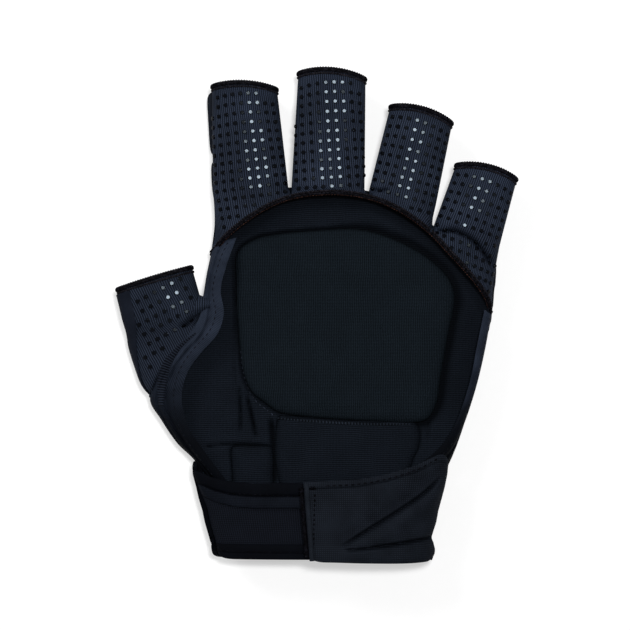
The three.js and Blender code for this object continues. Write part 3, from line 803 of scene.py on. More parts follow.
@dataclass
class Sleeve:
    """The ribbed knit of one finger, from the hem of the open palm to the mouth of its sleeve."""

    digit: Digit
    creases: tuple[Crease, ...] = ()
    seat_turns: float = 0.104
    step: float = 0.75
    dot_share: float = 0.43
    dot_margin: float = 2.6
    dot_widths: tuple[float, float] = (1.7, 1.9)
    dot_height: float = 0.42

    def __post_init__(self) -> None:
        """Measure the way round the sleeve's base."""
        self._turns = np.linspace(0.75, -0.25, 4001)
        x, z = oval(self.digit.base_width / 2, LAYERS.tube_height / 2, LAYERS.squareness, self._turns)
        arcs = np.concatenate([[0], np.cumsum(np.hypot(np.diff(x), np.diff(z)))])
        self._arcs = arcs - arcs[-1] / 2
        self.reach = float(arcs[-1] / 2)
        self.left, self.right = self.arc_at(0.5 + self.seat_turns), self.arc_at(-self.seat_turns)

    def arc_at(self, turns: float) -> float:
        """The distance round the sleeve from its crown at these turns, positive to the right."""
        return float(np.interp(-turns, -self._turns, self._arcs))

    def turns_at(self, arcs: Array) -> Array:
        """The turns at distances round the sleeve from its crown, positive to the right."""
        return np.interp(arcs, self._arcs, self._turns)

    def foot(self, turns: Array) -> Array:
        """How far behind the base line the tube itself goes on, down to the crotch."""
        left, right = self.digit.drops
        on_right = ease(turns, 0.22, 0.0) * ease(turns, -0.2, 0.0)
        on_left = ease(turns, 0.28, 0.5) * ease(turns, 0.7, 0.5)
        return -(right * on_right + left * on_left)

    def hem_share(self, arcs: Array) -> Array:
        """The share of the digit's stretch of hem at distances round the sleeve."""
        start = self.left if self.digit.outer < 0 else self.arc_at(0.5)
        end = self.right if self.digit.outer > 0 else self.arc_at(0.0)
        return np.clip((arcs - start) / (end - start), 0, 1)

    def lower_end(self, arcs: Array) -> Array:
        """Where the cloth meets the palm's hem."""
        low, high = self.digit.hem_stops
        return HEM.at(mix(low, high, self.hem_share(arcs))) - SEAM_SINK * UP

    def palm_way(self, arcs: Array) -> tuple[Array, Array]:
        """Where the tube ends behind its base line, and how far it is from there to the palm's hem."""
        turns = self.turns_at(arcs)
        foot = self.foot(turns)
        return foot, np.linalg.norm((self.digit.ring(turns, foot) - self.lower_end(arcs))[..., :2], axis=-1)

    def fold(self, points: Array) -> Array:
        """Lift points by the creases, and by the soft waves of cloth that was worn."""
        lifted = points.copy()
        x, y = points[..., 0], points[..., 1]
        waves = 0.16 * np.sin(x * 0.33 + y * 0.21) * np.sin(y * 0.27 - x * 0.12 + 1.3)
        upper = ease(points[..., 2], LAYERS.middle, LAYERS.top - 1)
        for crease in self.creases:
            waves = waves + crease.rise(points)
            if crease.overhang:
                lifted = lifted + crease.lean(points) * upper[..., None]
        lifted[..., 2] += waves * upper
        return lifted

    def point(self, arcs: Array, y: Array) -> Array:
        """Points of the cloth's face.

        Args:
            arcs: Distances round the sleeve from its crown.
            y: Distances from its base line, negative towards the palm.

        Returns:
            The points.
        """
        arcs, y = np.broadcast_arrays(np.asarray(arcs, float), np.asarray(y, float))
        turns = self.turns_at(arcs)
        foot = self.foot(turns)
        ring = self.digit.ring(turns, np.maximum(y, foot))
        low = self.lower_end(arcs)
        way = np.linalg.norm((ring - low)[..., :2], axis=-1)
        share = np.clip((foot - y) / np.maximum(way, 0.4), 0, 1)
        path = mix(ring, low, share[..., None])
        path[..., 2] = mix(ring[..., 2], low[..., 2], ease(share))
        return self.fold(path)

    def normal(self, arcs: Array, y: Array) -> Array:
        """The directions out of the cloth's face."""
        step = 0.15
        across = self.point(arcs + step, y) - self.point(arcs - step, y)
        ahead = self.point(arcs, y + step) - self.point(arcs, y - step)
        return unit(np.cross(across, ahead))

    def columns(self) -> tuple[Array, Array]:
        """Distances round the whole sleeve, and those round its palm side alone."""
        arcs = np.linspace(-self.reach, self.reach, round(2 * self.reach / self.step) + 1)
        inner = arcs[(arcs > self.left) & (arcs < self.right)]
        return arcs, np.concatenate([[self.left], inner, [self.right]])

    def tube(self, name: str, low: float | None, high: float) -> Piece:
        """Make a stretch of the cloth.

        Args:
            name: The piece's name.
            low: Where it starts along the sleeve, or None for the hem of the palm.
            high: Where it ends along the sleeve.

        Returns:
            The piece.
        """
        cloth = Cloth(name)
        arcs, palm = self.columns()
        if low is None:
            arcs = np.unique(np.concatenate([arcs, palm]))
            feet, ways = self.palm_way(palm)
            rows = max(round(float(ways.max()) / self.step), 4)
            y = feet - np.linspace(1, 0, rows + 1)[:, None] * ways
            self._patch(cloth, palm, y)
            start = self.foot(self.turns_at(arcs))
        else:
            start = np.full(len(arcs), low)
        rows = max(round((high - float(start.min())) / self.step), 3)
        self._patch(cloth, arcs, mix(start, high, np.linspace(0, 1, rows + 1)[:, None]))
        return cloth.finish(wall=LAYERS.wall)

    def _patch(self, cloth: Cloth, arcs: Array, y: Array) -> None:
        """Add a grid of the cloth's face, whose weave is turned to the grain."""
        arcs = np.broadcast_to(arcs, y.shape)
        cloth.patch(self.point(arcs, y), np.stack(turned(arcs, y, self.digit.knit_lean), -1))

    def dots(self, name: str, low: float | None, high: float, start: float, pitch: float = 3.75) -> Piece:
        """Set the grip dots in rows along the grain.

        Args:
            name: The piece's name.
            low: Where they start along the sleeve, or None for the hem of the palm.
            high: Where they end.
            start: How far the rows are shifted across.
            pitch: The way from a dot to the next.

        Returns:
            The dots, as one piece.
        """
        steps = np.arange(-24, 25) * pitch
        arcs, y = turned(*(g.reshape(-1) for g in np.meshgrid(steps + start, steps)), -self.digit.knit_lean)
        inside = (np.abs(arcs) < self.reach * self.dot_share) & (y < high)
        if low is None:
            foot, way = self.palm_way(arcs)
            inside &= y > np.where(way > self.dot_margin, foot - way + self.dot_margin, 0.6)
        else:
            inside &= y >= low
        arcs, y = arcs[inside], y[inside]
        rng = np.random.default_rng(sum(map(ord, name)))
        across = rng.uniform(*self.dot_widths, len(arcs))
        along = across * rng.uniform(0.9, 1.0, len(arcs))
        scales = np.stack([across, along, np.full(len(arcs), self.dot_height)], 1)
        spots = self.point(arcs, y)
        return dot().set_at(name, spots, set_level(self.normal(arcs, y), spots), self.digit.across, scales)


@dataclass
class ThumbSleeve(Sleeve):
    """The ribbed knit of the thumb, whose base tapers between its outer line and the side band."""

    shell_rows: Rows = (
        (-0.335, 0.513, 0), (-0.322, 0.438, 0), (-0.298, 0.356, 0), (-0.268, 0.28, 0), (-0.222, 0.23, 0),
    )
    base_length: float = 40.0
    straight: float = 6.0
    grip_start: tuple[float, float] = (-63.0, 1.6)
    grip_pitch: tuple[float, float] = (4.05, 4.45)
    grip_rows: Rows = (
        (-76.6, 11), (-64, 15.4), (-53, 17), (-49.5, 9), (-46.5, 2.4), (-51, -3.4), (-57.8, -9.6),
        (-63.6, -17.6), (-67.4, -28.4), (-69.6, -27.2), (-72.6, -15.8), (-75.6, -0.6), (-76.6, 10.9),
    )

    def __post_init__(self) -> None:
        """Lay the two lines between which the thumb's base lies."""
        super().__post_init__()
        self.outer_line = PLAN.line(self.shell_rows)
        self.seam_line = SideBand.thumb_side().outer_line

    def profile(self, arcs: Array, share: Array) -> Array:
        """Points over the thumb's base, from its outer line to the band.

        Args:
            arcs: Distances round the sleeve from its crown.
            share: The share of the way from the thumb's base line down to the point of the taper.

        Returns:
            The points.
        """
        u = np.clip((arcs - self.left) / (self.right - self.left), 0, 1)[..., None]
        low = self.outer_line.at(share)
        high = self.seam_line.at(mix(0.308, 0.65, share))
        near_low, near_high = low.copy(), mix(low, high, 0.75)
        sunk = ease(share, 0.68, 0.96)
        near_low[..., 2] = mix(LAYERS.top, high[..., 2], sunk)
        shoulder = np.minimum(LAYERS.top, high[..., 2] + LAYERS.tube_height / 2)
        near_high[..., 2] = mix(shoulder, high[..., 2], sunk)
        return (
            low * (1 - u) ** 3
            + 3 * near_low * u * (1 - u) ** 2
            + 3 * near_high * u**2 * (1 - u)
            + high * u**3
        )

    def point(self, arcs: Array, y: Array) -> Array:
        """Points of the cloth's face."""
        arcs, y = np.broadcast_arrays(np.asarray(arcs, float), np.asarray(y, float))
        ring = self.digit.ring(self.turns_at(arcs), np.maximum(y, -self.straight))
        ring = ring + np.minimum(y + self.straight, 0)[..., None] * self.digit.along
        share = np.clip(-y / self.base_length, 0, 1)
        path = mix(ring, self.profile(arcs, share), ease(share, 0.0, 0.3)[..., None])
        return self.fold(path)

    def _patch(self, cloth: Cloth, arcs: Array, y: Array) -> None:
        """Add a grid of the cloth's face, whose weave keeps its width over the taper."""
        arcs, y = np.broadcast_arrays(arcs, y)
        points = self.point(arcs, y)
        apart = points - np.array([*self.digit.base, 0.0])
        flat = ease(-y, 0, 9)
        x, y = mix(arcs, apart @ self.digit.across, flat), mix(y, apart @ self.digit.along, flat)
        cloth.patch(points, np.stack(turned(x, y, self.digit.knit_lean), -1))

    def tube(self, name: str, low: float | None, high: float) -> Piece:
        """Make the thumb's cloth: its sleeve, and the taper below it."""
        cloth = Cloth(name)
        arcs, palm = self.columns()
        arcs = np.unique(np.concatenate([arcs, palm]))
        for columns, start, end in ((palm, -self.base_length, 0), (arcs, 0, high)):
            rows = round((end - start) / self.step) + 1
            self._patch(cloth, columns, np.linspace(start, end, rows)[:, None])
        return cloth.finish(wall=LAYERS.wall)

    def grip(self, name: str, knit: Piece) -> Piece:
        """Set the thumb's grip dots over its cloth, clear of its side panel and of the band.

        Args:
            name: The piece's name.
            knit: The thumb's cloth.

        Returns:
            The dots, as one piece.
        """
        across, down = self.grip_pitch
        rows = np.meshgrid(np.arange(-9, 10) * across, np.arange(-12, 13) * down)
        x, y = turned(*(row.reshape(-1) for row in rows), -math.radians(self.digit.grain))
        places = np.stack([x + self.grip_start[0], y + self.grip_start[1], 0 * x], -1)
        places = places[depth_inside(places, Line(self.grip_rows).evenly(120)) > 0.9]
        found, spots, normals = Surface(knit).drop(places)
        ups = set_level(normals, spots)[found]
        scales = (1.95, 1.85, self.dot_height)
        return dot().set_at(name, spots[found], ups, self.digit.across, scales)


@dataclass
class SideBand:
    """The smooth jersey band down one side of the open palm."""

    name: str
    outer_rows: Rows
    inner_rows: Rows
    front: int
    rows: int = 110
    columns: int = 26
    wall: float = 1.6

    def __post_init__(self) -> None:
        """Lay the band's two edges."""
        self.outer_line = PLAN.line(self.outer_rows)
        self.inner_line = PLAN.line(self.inner_rows)

    @classmethod
    def thumb_side(cls) -> SideBand:
        """The band between the thumb and the open palm."""
        return cls(
            "thumb_side_band",
            (
                (-0.022, 0.8, 0), (-0.032, 0.745, 0), (-0.042, 0.696, 0.05), (-0.054, 0.61, 0.4),
                (-0.065, 0.534, 0.86), (-0.101, 0.472, 0.95), (-0.157, 0.401, 0.95), (-0.208, 0.324, 0.8),
                (-0.246, 0.226, 0.1), (-0.208, 0.157, 0), (-0.149, 0.069, 0), (-0.092, 0.012, 0),
                (-0.02, -0.09, 0),
            ),
            (
                (0.066, 0.825, 0.45), (0.046, 0.765, 0.82), (0.03, 0.715, 0.92), (0.011, 0.631, 0.86),
                (0.022, 0.55, 0.84), (0, 0.474, 0.86), (-0.064, 0.397, 0.9), (-0.107, 0.332, 0.9),
                (-0.128, 0.244, 0.86), (-0.107, 0.138, 0.8), (-0.06, 0.062, 0.8), (-0.02, 0.006, 0.8),
                (0.05, -0.09, 0.7),
            ),
            1,
        )

    @classmethod
    def outer_side(cls) -> SideBand:
        """The band on the little finger's side, which runs on under the flap's top edge."""
        return cls(
            "outer_side_band",
            (
                (0.98, 0.54, 0), (0.958, 0.412, 0), (0.924, 0.27, 0), (0.874, 0.112, 0), (0.836, 0.012, 0.1),
                (0.79, -0.06, 0.5), (0.7, -0.1, 0.8),
            ),
            (
                (0.95, 0.56, 0.8), (0.922, 0.423, 0.86), (0.893, 0.28, 0.86), (0.829, 0.112, 0.9),
                (0.765, 0.035, 0.94), (0.7, -0.008, 0.98), (0.6, -0.045, 1),
            ),
            -1,
        )

    def point(self, u: Array, v: Array) -> Array:
        """Points of the band's face, from its outer edge at u 0 to its inner edge at u 1."""
        low, high = self.outer_line.at(v), self.inner_line.at(v)
        shoulder = low.copy()
        shoulder[..., 2] = np.maximum(low[..., 2], high[..., 2])
        u = u[..., None]
        path = low * (1 - u) ** 2 + 2 * shoulder * u * (1 - u) + high * u**2
        across = (1 - u[..., 0]) * np.linalg.norm((high - low)[..., :2], axis=-1)
        second = bell(across, 7.0, 0.6) * ease(v, 0.45, 0.62)
        path[..., 2] += 0.55 * dome(across, 0, 5.0) - 1.7 * bell(across, 3.9, 0.6) - 1.1 * second
        return path

    def seam_row(self, offset: float) -> Array:
        """Places in the plan of a row of stitches beside the inner edge, to its left where positive."""
        edge = self.inner_line.evenly(40)
        return edge[:, :2] + leftward(unit(np.gradient(edge, axis=0))) * offset

    def make(self) -> Piece:
        """Make the band."""
        u, v = grid(self.columns, self.rows)
        points = self.point(u, v)
        wide = np.linalg.norm(self.inner_line.at(v) - self.outer_line.at(v), axis=-1)
        weave = np.stack([u * wide, v * self.inner_line.length], -1)
        return Cloth(self.name).patch(points, weave, self.front > 0).finish(self.wall)


# Foam and padding


@dataclass(frozen=True)
class PadForm:
    """The section of a pad, from its edge inwards."""

    levels: tuple[tuple[float, float], ...]
    crown: float
    crown_rings: int = 12


def foam_pad(
    name: str,
    outline: Rows | Array,
    attach: float,
    side: int,
    form: PadForm,
    relief: Formula | None = None,
    count: int = 132,
) -> Piece:
    """Make a stuffed pad that lies flat on what it is sewn to.

    Args:
        name: The pad's name.
        outline: Its outline in the plan.
        attach: The height of its flat face.
        side: 1 where it rises towards the palm side and -1 where it hangs on the back.
        form: Its section.
        relief: Gives how far grooves and swells lift its face at points of the plan.
        count: How many points its outline gets.

    Returns:
        The pad.
    """
    edge = Line(outline, closed=True).evenly(count)[:, :2]
    if signed_area(edge) < 0:
        edge = edge[::-1].copy()
    centre = edge.mean(0)
    inward = leftward(unit(np.roll(edge, -1, axis=0) - np.roll(edge, 1, axis=0)))
    to_centre = centre - edge
    reach = np.linalg.norm(to_centre, axis=1)
    ray = to_centre / reach[:, None]
    rate = 1 / np.clip((ray * inward).sum(1), 0.42, 1)
    rings = [edge + ray * np.minimum(inset * rate, reach * 0.8)[:, None] for inset, _ in form.levels]
    heights = [height for _, height in form.levels]
    last, top = rings[-1], heights[-1]
    for share in np.linspace(0, 1, form.crown_rings + 1)[1:-1]:
        rings.append(mix(last, centre, share))
        heights.append(mix(top, form.crown, 1 - (1 - share) ** 2.2))
    points = np.stack([np.column_stack([ring, np.full(count, h)]) for ring, h in zip(rings, heights)])
    if relief is not None:
        firm = ease(points[..., 2], form.levels[0][1], form.crown * 0.8)
        points[..., 2] += relief(points) * firm
    points[..., 2] = attach + side * points[..., 2]
    return Cloth(name).rings(points, flip=side < 0).finish(angle=70)


@dataclass
class PalmLining:
    """The padded lining inside the back of the glove, seen through the open palm."""

    main_rows: Rows = (
        (0.068, 0.774), (0.134, 0.823), (0.208, 0.839), (0.35, 0.852), (0.477, 0.858), (0.555, 0.846),
        (0.665, 0.804), (0.769, 0.739), (0.833, 0.667), (0.848, 0.607), (0.822, 0.449), (0.8, 0.322),
        (0.783, 0.214), (0.75, 0.158), (0.7, 0.144), (0.57, 0.149), (0.438, 0.156), (0.3, 0.169),
        (0.214, 0.184), (0.171, 0.214), (0.116, 0.262), (0.087, 0.336), (0.074, 0.431), (0.066, 0.539),
        (0.062, 0.661),
    )
    lower_rows: Rows = (
        (0.215, 0.172), (0.24, 0.172), (0.33, 0.167), (0.449, 0.158), (0.56, 0.156), (0.69, 0.158),
        (0.725, 0.12), (0.725, 0.06), (0.70, 0), (0.68, -0.07), (0.66, -0.09), (0.56, -0.095),
        (0.449, -0.097), (0.33, -0.097), (0.228, -0.093), (0.206, -0.02), (0.202, 0.065),
    )
    lower_inner_rows: Rows = (
        (0.048, 0.058), (0.12, 0.062), (0.188, 0.058), (0.197, 0.03), (0.198, -0.04), (0.194, -0.1),
        (0.12, -0.105), (0.056, -0.1), (0.046, -0.04), (0.042, 0.005), (0.041, 0.04),
    )
    main_form: PadForm = PadForm(
        ((0.6, 0), (0, 0.4), (0, 1.6), (0.35, 2.6), (0.9, 3.4), (1.7, 4.05), (2.9, 4.6), (4.6, 5),
         (7, 5.25), (10, 5.4)), 5.6,
    )
    soft_form: PadForm = PadForm(
        ((0.4, 0), (0, 0.3), (0.1, 0.9), (0.5, 1.5), (1, 2), (1.9, 2.5), (3.2, 2.8)), 3.1,
    )
    left_rows: Rows = (
        (-0.06, -0.14), (-0.078, 0), (-0.13, 0.066), (-0.186, 0.148), (-0.212, 0.232), (-0.188, 0.328),
        (-0.13, 0.4), (-0.045, 0.466), (-0.018, 0.54), (-0.024, 0.62), (-0.026, 0.7), (-0.022, 0.77),
        (-0.014, 0.85), (-0.012, 0.93), (-0.004, 0.975), (0.03, 0.995), (0.2, 1), (0.4, 1.008),
    )
    right_rows: Rows = (
        (0.64, -0.14), (0.7, -0.06), (0.745, -0.03), (0.8, 0.024), (0.847, 0.112), (0.905, 0.275),
        (0.94, 0.418), (0.967, 0.55), (0.955, 0.64), (0.915, 0.705), (0.845, 0.79), (0.77, 0.87),
        (0.665, 0.945), (0.55, 0.993), (0.42, 1.0081),
    )
    dents: tuple[Crease, ...] = (
        Crease(((-6, -39), (10, -41.5), (24, -40)), 0.35, 2),
        Crease(((22, 34), (34, 20), (38, 0)), 0.25, 5),
        Crease(((-20, 30), (-24, 0), (-20, -30)), 0.2, 6),
    )
    folds: tuple[Crease, ...] = (
        Crease(((-35.4, 34), (-34, 5), (-34, -20), (-32, -42)), 0.9, 0.6, 0.4, 1.6),
        Crease(
            ((-49.5, -56.2), (-47.3, -55.9), (-34.4, -54.7), (-23.9, -55.3), (-16.5, -57.2)),
            1.5, 0.7, 0.6, 1.8,
        ),
        Crease(((-18.9, -42), (-18, -49), (-17.2, -60), (-16.9, -74)), 3.2, 1.05, 0.4, 1.8),
        Crease(((-28.9, -33), (-26.6, -43), (-24.6, -53)), 2.3, 0.7, 0.5, 1.8),
        Crease(((-31.9, -28), (-31.4, -42), (-31.6, -51)), 1.9, 0.65, 0.4, 1.6),
        Crease(((47.5, -40), (47.8, -47), (48.4, -54)), 0.9, 0.8, 0.4, 1.8),
        Crease(((43.4, -49), (40.6, -55), (38.8, -61)), 0.9, 0.8, 0.4, 1.8),
        Crease(((-33.4, -57), (-33, -64), (-32.8, -74)), 0.9, 0.6, 0.3, 1.4),
    )

    def make(self) -> dict[str, Piece]:
        """Make the pads, and give them by name."""
        pads = {}

        def swells(points: Array) -> Array:
            """Gentle swells and dents of the foam under the lining."""
            x, y = points[..., 0], points[..., 1]
            swell = 0.12 * np.sin(x * 0.11 + 0.6) * np.cos(y * 0.09)
            return swell + sum(dent.rise(points) for dent in self.dents)

        for name, rows, form, relief, count in (
            ("main_palm_pad", self.main_rows, self.main_form, swells, 200),
            ("lower_palm_pad", self.lower_rows, self.soft_form, None, 132),
            ("lower_thumb_pad_inner", self.lower_inner_rows, self.soft_form, None, 132),
        ):
            pads[name] = foam_pad(name, PLAN.flat(rows), LAYERS.seat, 1, form, relief, count)
        return pads

    def height(self, points: Array) -> Array:
        """The height of the lining cloth between the pads."""
        x, y = points[..., 0], points[..., 1]
        hem_gap = np.abs(distance_to(points, HEM.evenly(60))[0])
        channel = ease(x, 36, 43) * ease(y, -48, -34) * ease(hem_gap, 2, 9)
        z = LAYERS.seat + 2.9 + 0.4 * ease(x, -30, -36) - 0.8 * channel - 1.5 * ease(hem_gap, 7, 1)
        z = z + sum(fold.rise(points) for fold in self.folds)
        z = z + 0.12 * np.sin(x * 0.5 + y * 0.13) * np.sin(y * 0.23)
        shaded = ease(x, 4, 30)
        for rows, wide, deep in (
            (self.main_rows, mix(1.0, 2.7, shaded), mix(2.0, 2.9, shaded)),
            (self.lower_rows, 0.7, 0.5 * ease(y, -46.5, -48.5)),
            (self.lower_inner_rows, 0.7, 0.6),
        ):
            gap = depth_inside(points, Line(PLAN.flat(rows), closed=True).evenly(160))
            z = np.maximum(z - deep * bell(np.minimum(gap, 0), 0, wide), LAYERS.seat + 0.2)
            z = np.where(gap > 0, mix(z, LAYERS.seat - 0.2, ease(gap, 0.0, 1.0)), z)
        return z

    def make_cloth(self) -> Piece:
        """The ribbed lining cloth that joins the pads and runs out under the bands and the hem."""
        left, right = (
            Line([PLAN.place(x, y) for x, y in rows]).evenly(300)
            for rows in (self.left_rows, self.right_rows)
        )
        low, high = left[0, 1], left[-1, 1] - 0.3
        share = 1 - (1 - np.linspace(0, 1, 190)) ** 1.45
        y = mix(low, high, share)[:, None]
        across = np.linspace(0, 1, 180)[None]
        x = mix(np.interp(y, left[:, 1], left[:, 0]), np.interp(y, right[:, 1], right[:, 0]), across)
        points = np.stack([x, np.broadcast_to(y, x.shape), np.zeros(x.shape)], -1)
        for start in range(0, len(points), 10):
            rows = slice(start, start + 10)
            points[rows, :, 2] = self.height(points[rows])
        return Cloth("outer_lining").patch(points).finish(0.8, 80)


@dataclass
class BackCloth:
    """The laminated cloth of the back, which the guards and the lining are sewn to."""

    voxel: float = 0.9

    def make(self) -> Piece:
        """Make the cloth from its CAD node, softened at its edges."""
        node = bpy.data.objects["back_shell"]
        mesh = node.data.copy()
        mesh.name = "back_cloth"
        mesh.transform(node.matrix_world)
        mesh.materials.clear()
        merge = bmesh.new()
        merge.from_mesh(mesh)
        bmesh.ops.remove_doubles(merge, verts=merge.verts, dist=0.01 * MM)
        merge.to_mesh(mesh)
        merge.free()
        piece = new_piece("back_cloth", mesh)
        remesh = piece.modifiers.new("even", "REMESH")
        remesh.mode = "VOXEL"
        remesh.voxel_size = self.voxel * MM
        soften = piece.modifiers.new("soft", "SMOOTH")
        soften.factor, soften.iterations = 0.5, 3
        apply_modifiers(piece)
        return smooth(piece, 70)


def squared_outline(digit: Digit, shift: float, half: float, low: float, high: float, taper: float) -> Array:
    """The outline of a guard on a digit, narrower behind the digit's base.

    Args:
        digit: The digit that carries it.
        shift: How far it lies to the right of the digit's middle.
        half: Half of its width.
        low: Where it starts along the digit.
        high: Where it ends.
        taper: How much it narrows behind the base.

    Returns:
        Points of the outline.
    """
    turns = np.linspace(0, 1, 40, endpoint=False)
    x, y = oval(half, (high - low) / 2, 8.0, turns)
    place = (low + high) / 2 + y
    narrow = 1 - np.maximum(-place, 0) * taper / half
    return digit.point(x * narrow + shift, place, 0.0)


@dataclass
class Guards:
    """The foam guards on the back of the glove."""

    attach: float = 7.25
    inset: float = 0.5
    setback: float = 12.0
    knuckle_length: float = 20.0
    taper: float = 0.13
    gap: float = 0.3
    index_shift: float = -2.1
    index_grow: float = 1.3
    tip_gap: float = 4.4
    index_tip_gap: float = 0.5
    cuff_width: float = 75.5
    form: PadForm = PadForm(
        ((0.2, 0), (0, 0.4), (0, 3.4), (0.12, 4.6), (0.45, 5.7), (1, 6.4), (1.8, 6.7), (2.5, 6.65),
         (2.9, 6.2), (3.3, 6.65), (4.1, 6.95), (5.4, 7.05)), 7.1, 8,
    )
    tip_form: PadForm = PadForm(
        ((0.2, 0), (0, 0.4), (0, 3.4), (0.15, 4.8), (0.6, 6.1), (1.4, 6.8), (2.3, 7)), 7.1, 5,
    )
    back_rows: Rows = (
        (0.04, 0.928), (0.3, 0.97), (0.52, 0.928), (0.7, 0.804), (0.83, 0.637), (0.86, 0.471),
        (0.82, 0.249), (0.76, 0.055), (0.4, 0.042), (0.06, 0.055), (0.02, 0.222), (0.01, 0.471),
        (0.02, 0.72),
    )
    thumb_rows: Rows = (
        (-0.29, 0.5), (-0.22, 0.525), (-0.1, 0.56), (-0.055, 0.56), (-0.035, 0.45), (-0.032, 0.3),
        (-0.04, 0.12), (-0.075, 0.07), (-0.13, 0.11), (-0.2, 0.225), (-0.25, 0.33), (-0.285, 0.42),
    )
    flex_lines: tuple[Rows, ...] = (
        ((-14, -56), (-12, -20), (-9, 17)),
        ((10, -56), (12, -20), (16, 17)),
        ((33, -54), (37, -20), (43, 4)),
        ((-38, -24), (10, -30), (58, -24)),
    )

    def digit_guards(self, digit: Digit) -> dict[str, Piece]:
        """The three guards on a finger."""
        index = digit.name == "index"
        half = digit.tip_width / 2 - self.inset + self.index_grow * index
        shift = self.index_shift * index
        top = -self.setback - self.gap
        end = digit.length - (self.index_tip_gap if index else self.tip_gap)
        spans = {
            "distal": (digit.proximal + self.gap / 2, end),
            "proximal": (-self.setback, digit.proximal - self.gap / 2),
            "knuckle": (top - self.knuckle_length, top),
        }
        made = {}
        for place, (low, high) in spans.items():
            name = f"{digit.name}_guard_{place}"
            outline = squared_outline(digit, shift, half, low, high, self.taper)
            made[name] = foam_pad(name, outline, self.attach, -1, self.form, count=100)
        return made

    def flex_relief(self, points: Array) -> Array:
        """Grooves along which the hand's guard bends."""
        depth = np.zeros(points.shape[:-1])
        for row in self.flex_lines:
            gap, place = distance_to(points, Line(row).evenly(16))
            ends = ease(place, 0, 0.06) * (1 - ease(place, 0.94, 1))
            depth = np.maximum(depth, 2.2 * bell(gap, 0, 1.3) * ends)
        return -depth

    def make(self) -> dict[str, Piece]:
        """Make all the guards, and give them by name."""
        made = {}
        for digit in FINGERS:
            made.update(self.digit_guards(digit))
        reach = 1 - (self.setback + self.knuckle_length) / PLAN.length
        rows = [(x, y * reach) for x, y in self.back_rows]
        broad = PadForm(self.form.levels, self.form.crown, 34)
        base = (sum(Cuff.middles) / 2 * PLAN.breadth + PLAN.left, Cuff.low_edge)
        cuff = Digit("cuff", 0.0, base, self.cuff_width, self.cuff_width, Cuff.length, Cuff.length, 0.0)
        tip = squared_outline(THUMB, 0.0, THUMB.base_width / 2 - 2.0, 0.15, THUMB.length - 4.5, 0.0)
        flat = squared_outline(cuff, 0.0, cuff.base_width / 2, cuff.length / 8, cuff.length * 0.9, 0.0)
        for name, outline, form, relief, count in (
            ("thumb_guard_tip", tip, self.tip_form, None, 100),
            ("back_guard", PLAN.flat(rows), broad, self.flex_relief, 260),
            ("thumb_guard_base", PLAN.flat(self.thumb_rows), self.form, None, 132),
            ("cuff_guard", flat, broad, None, 132),
        ):
            made[name] = foam_pad(name, outline, self.attach, -1, form, relief, count)
        return made


# Cuff, strap and flap


def level(height: float) -> Formula:
    """An edge at one height."""
    return lambda u: np.full(u.shape, height)


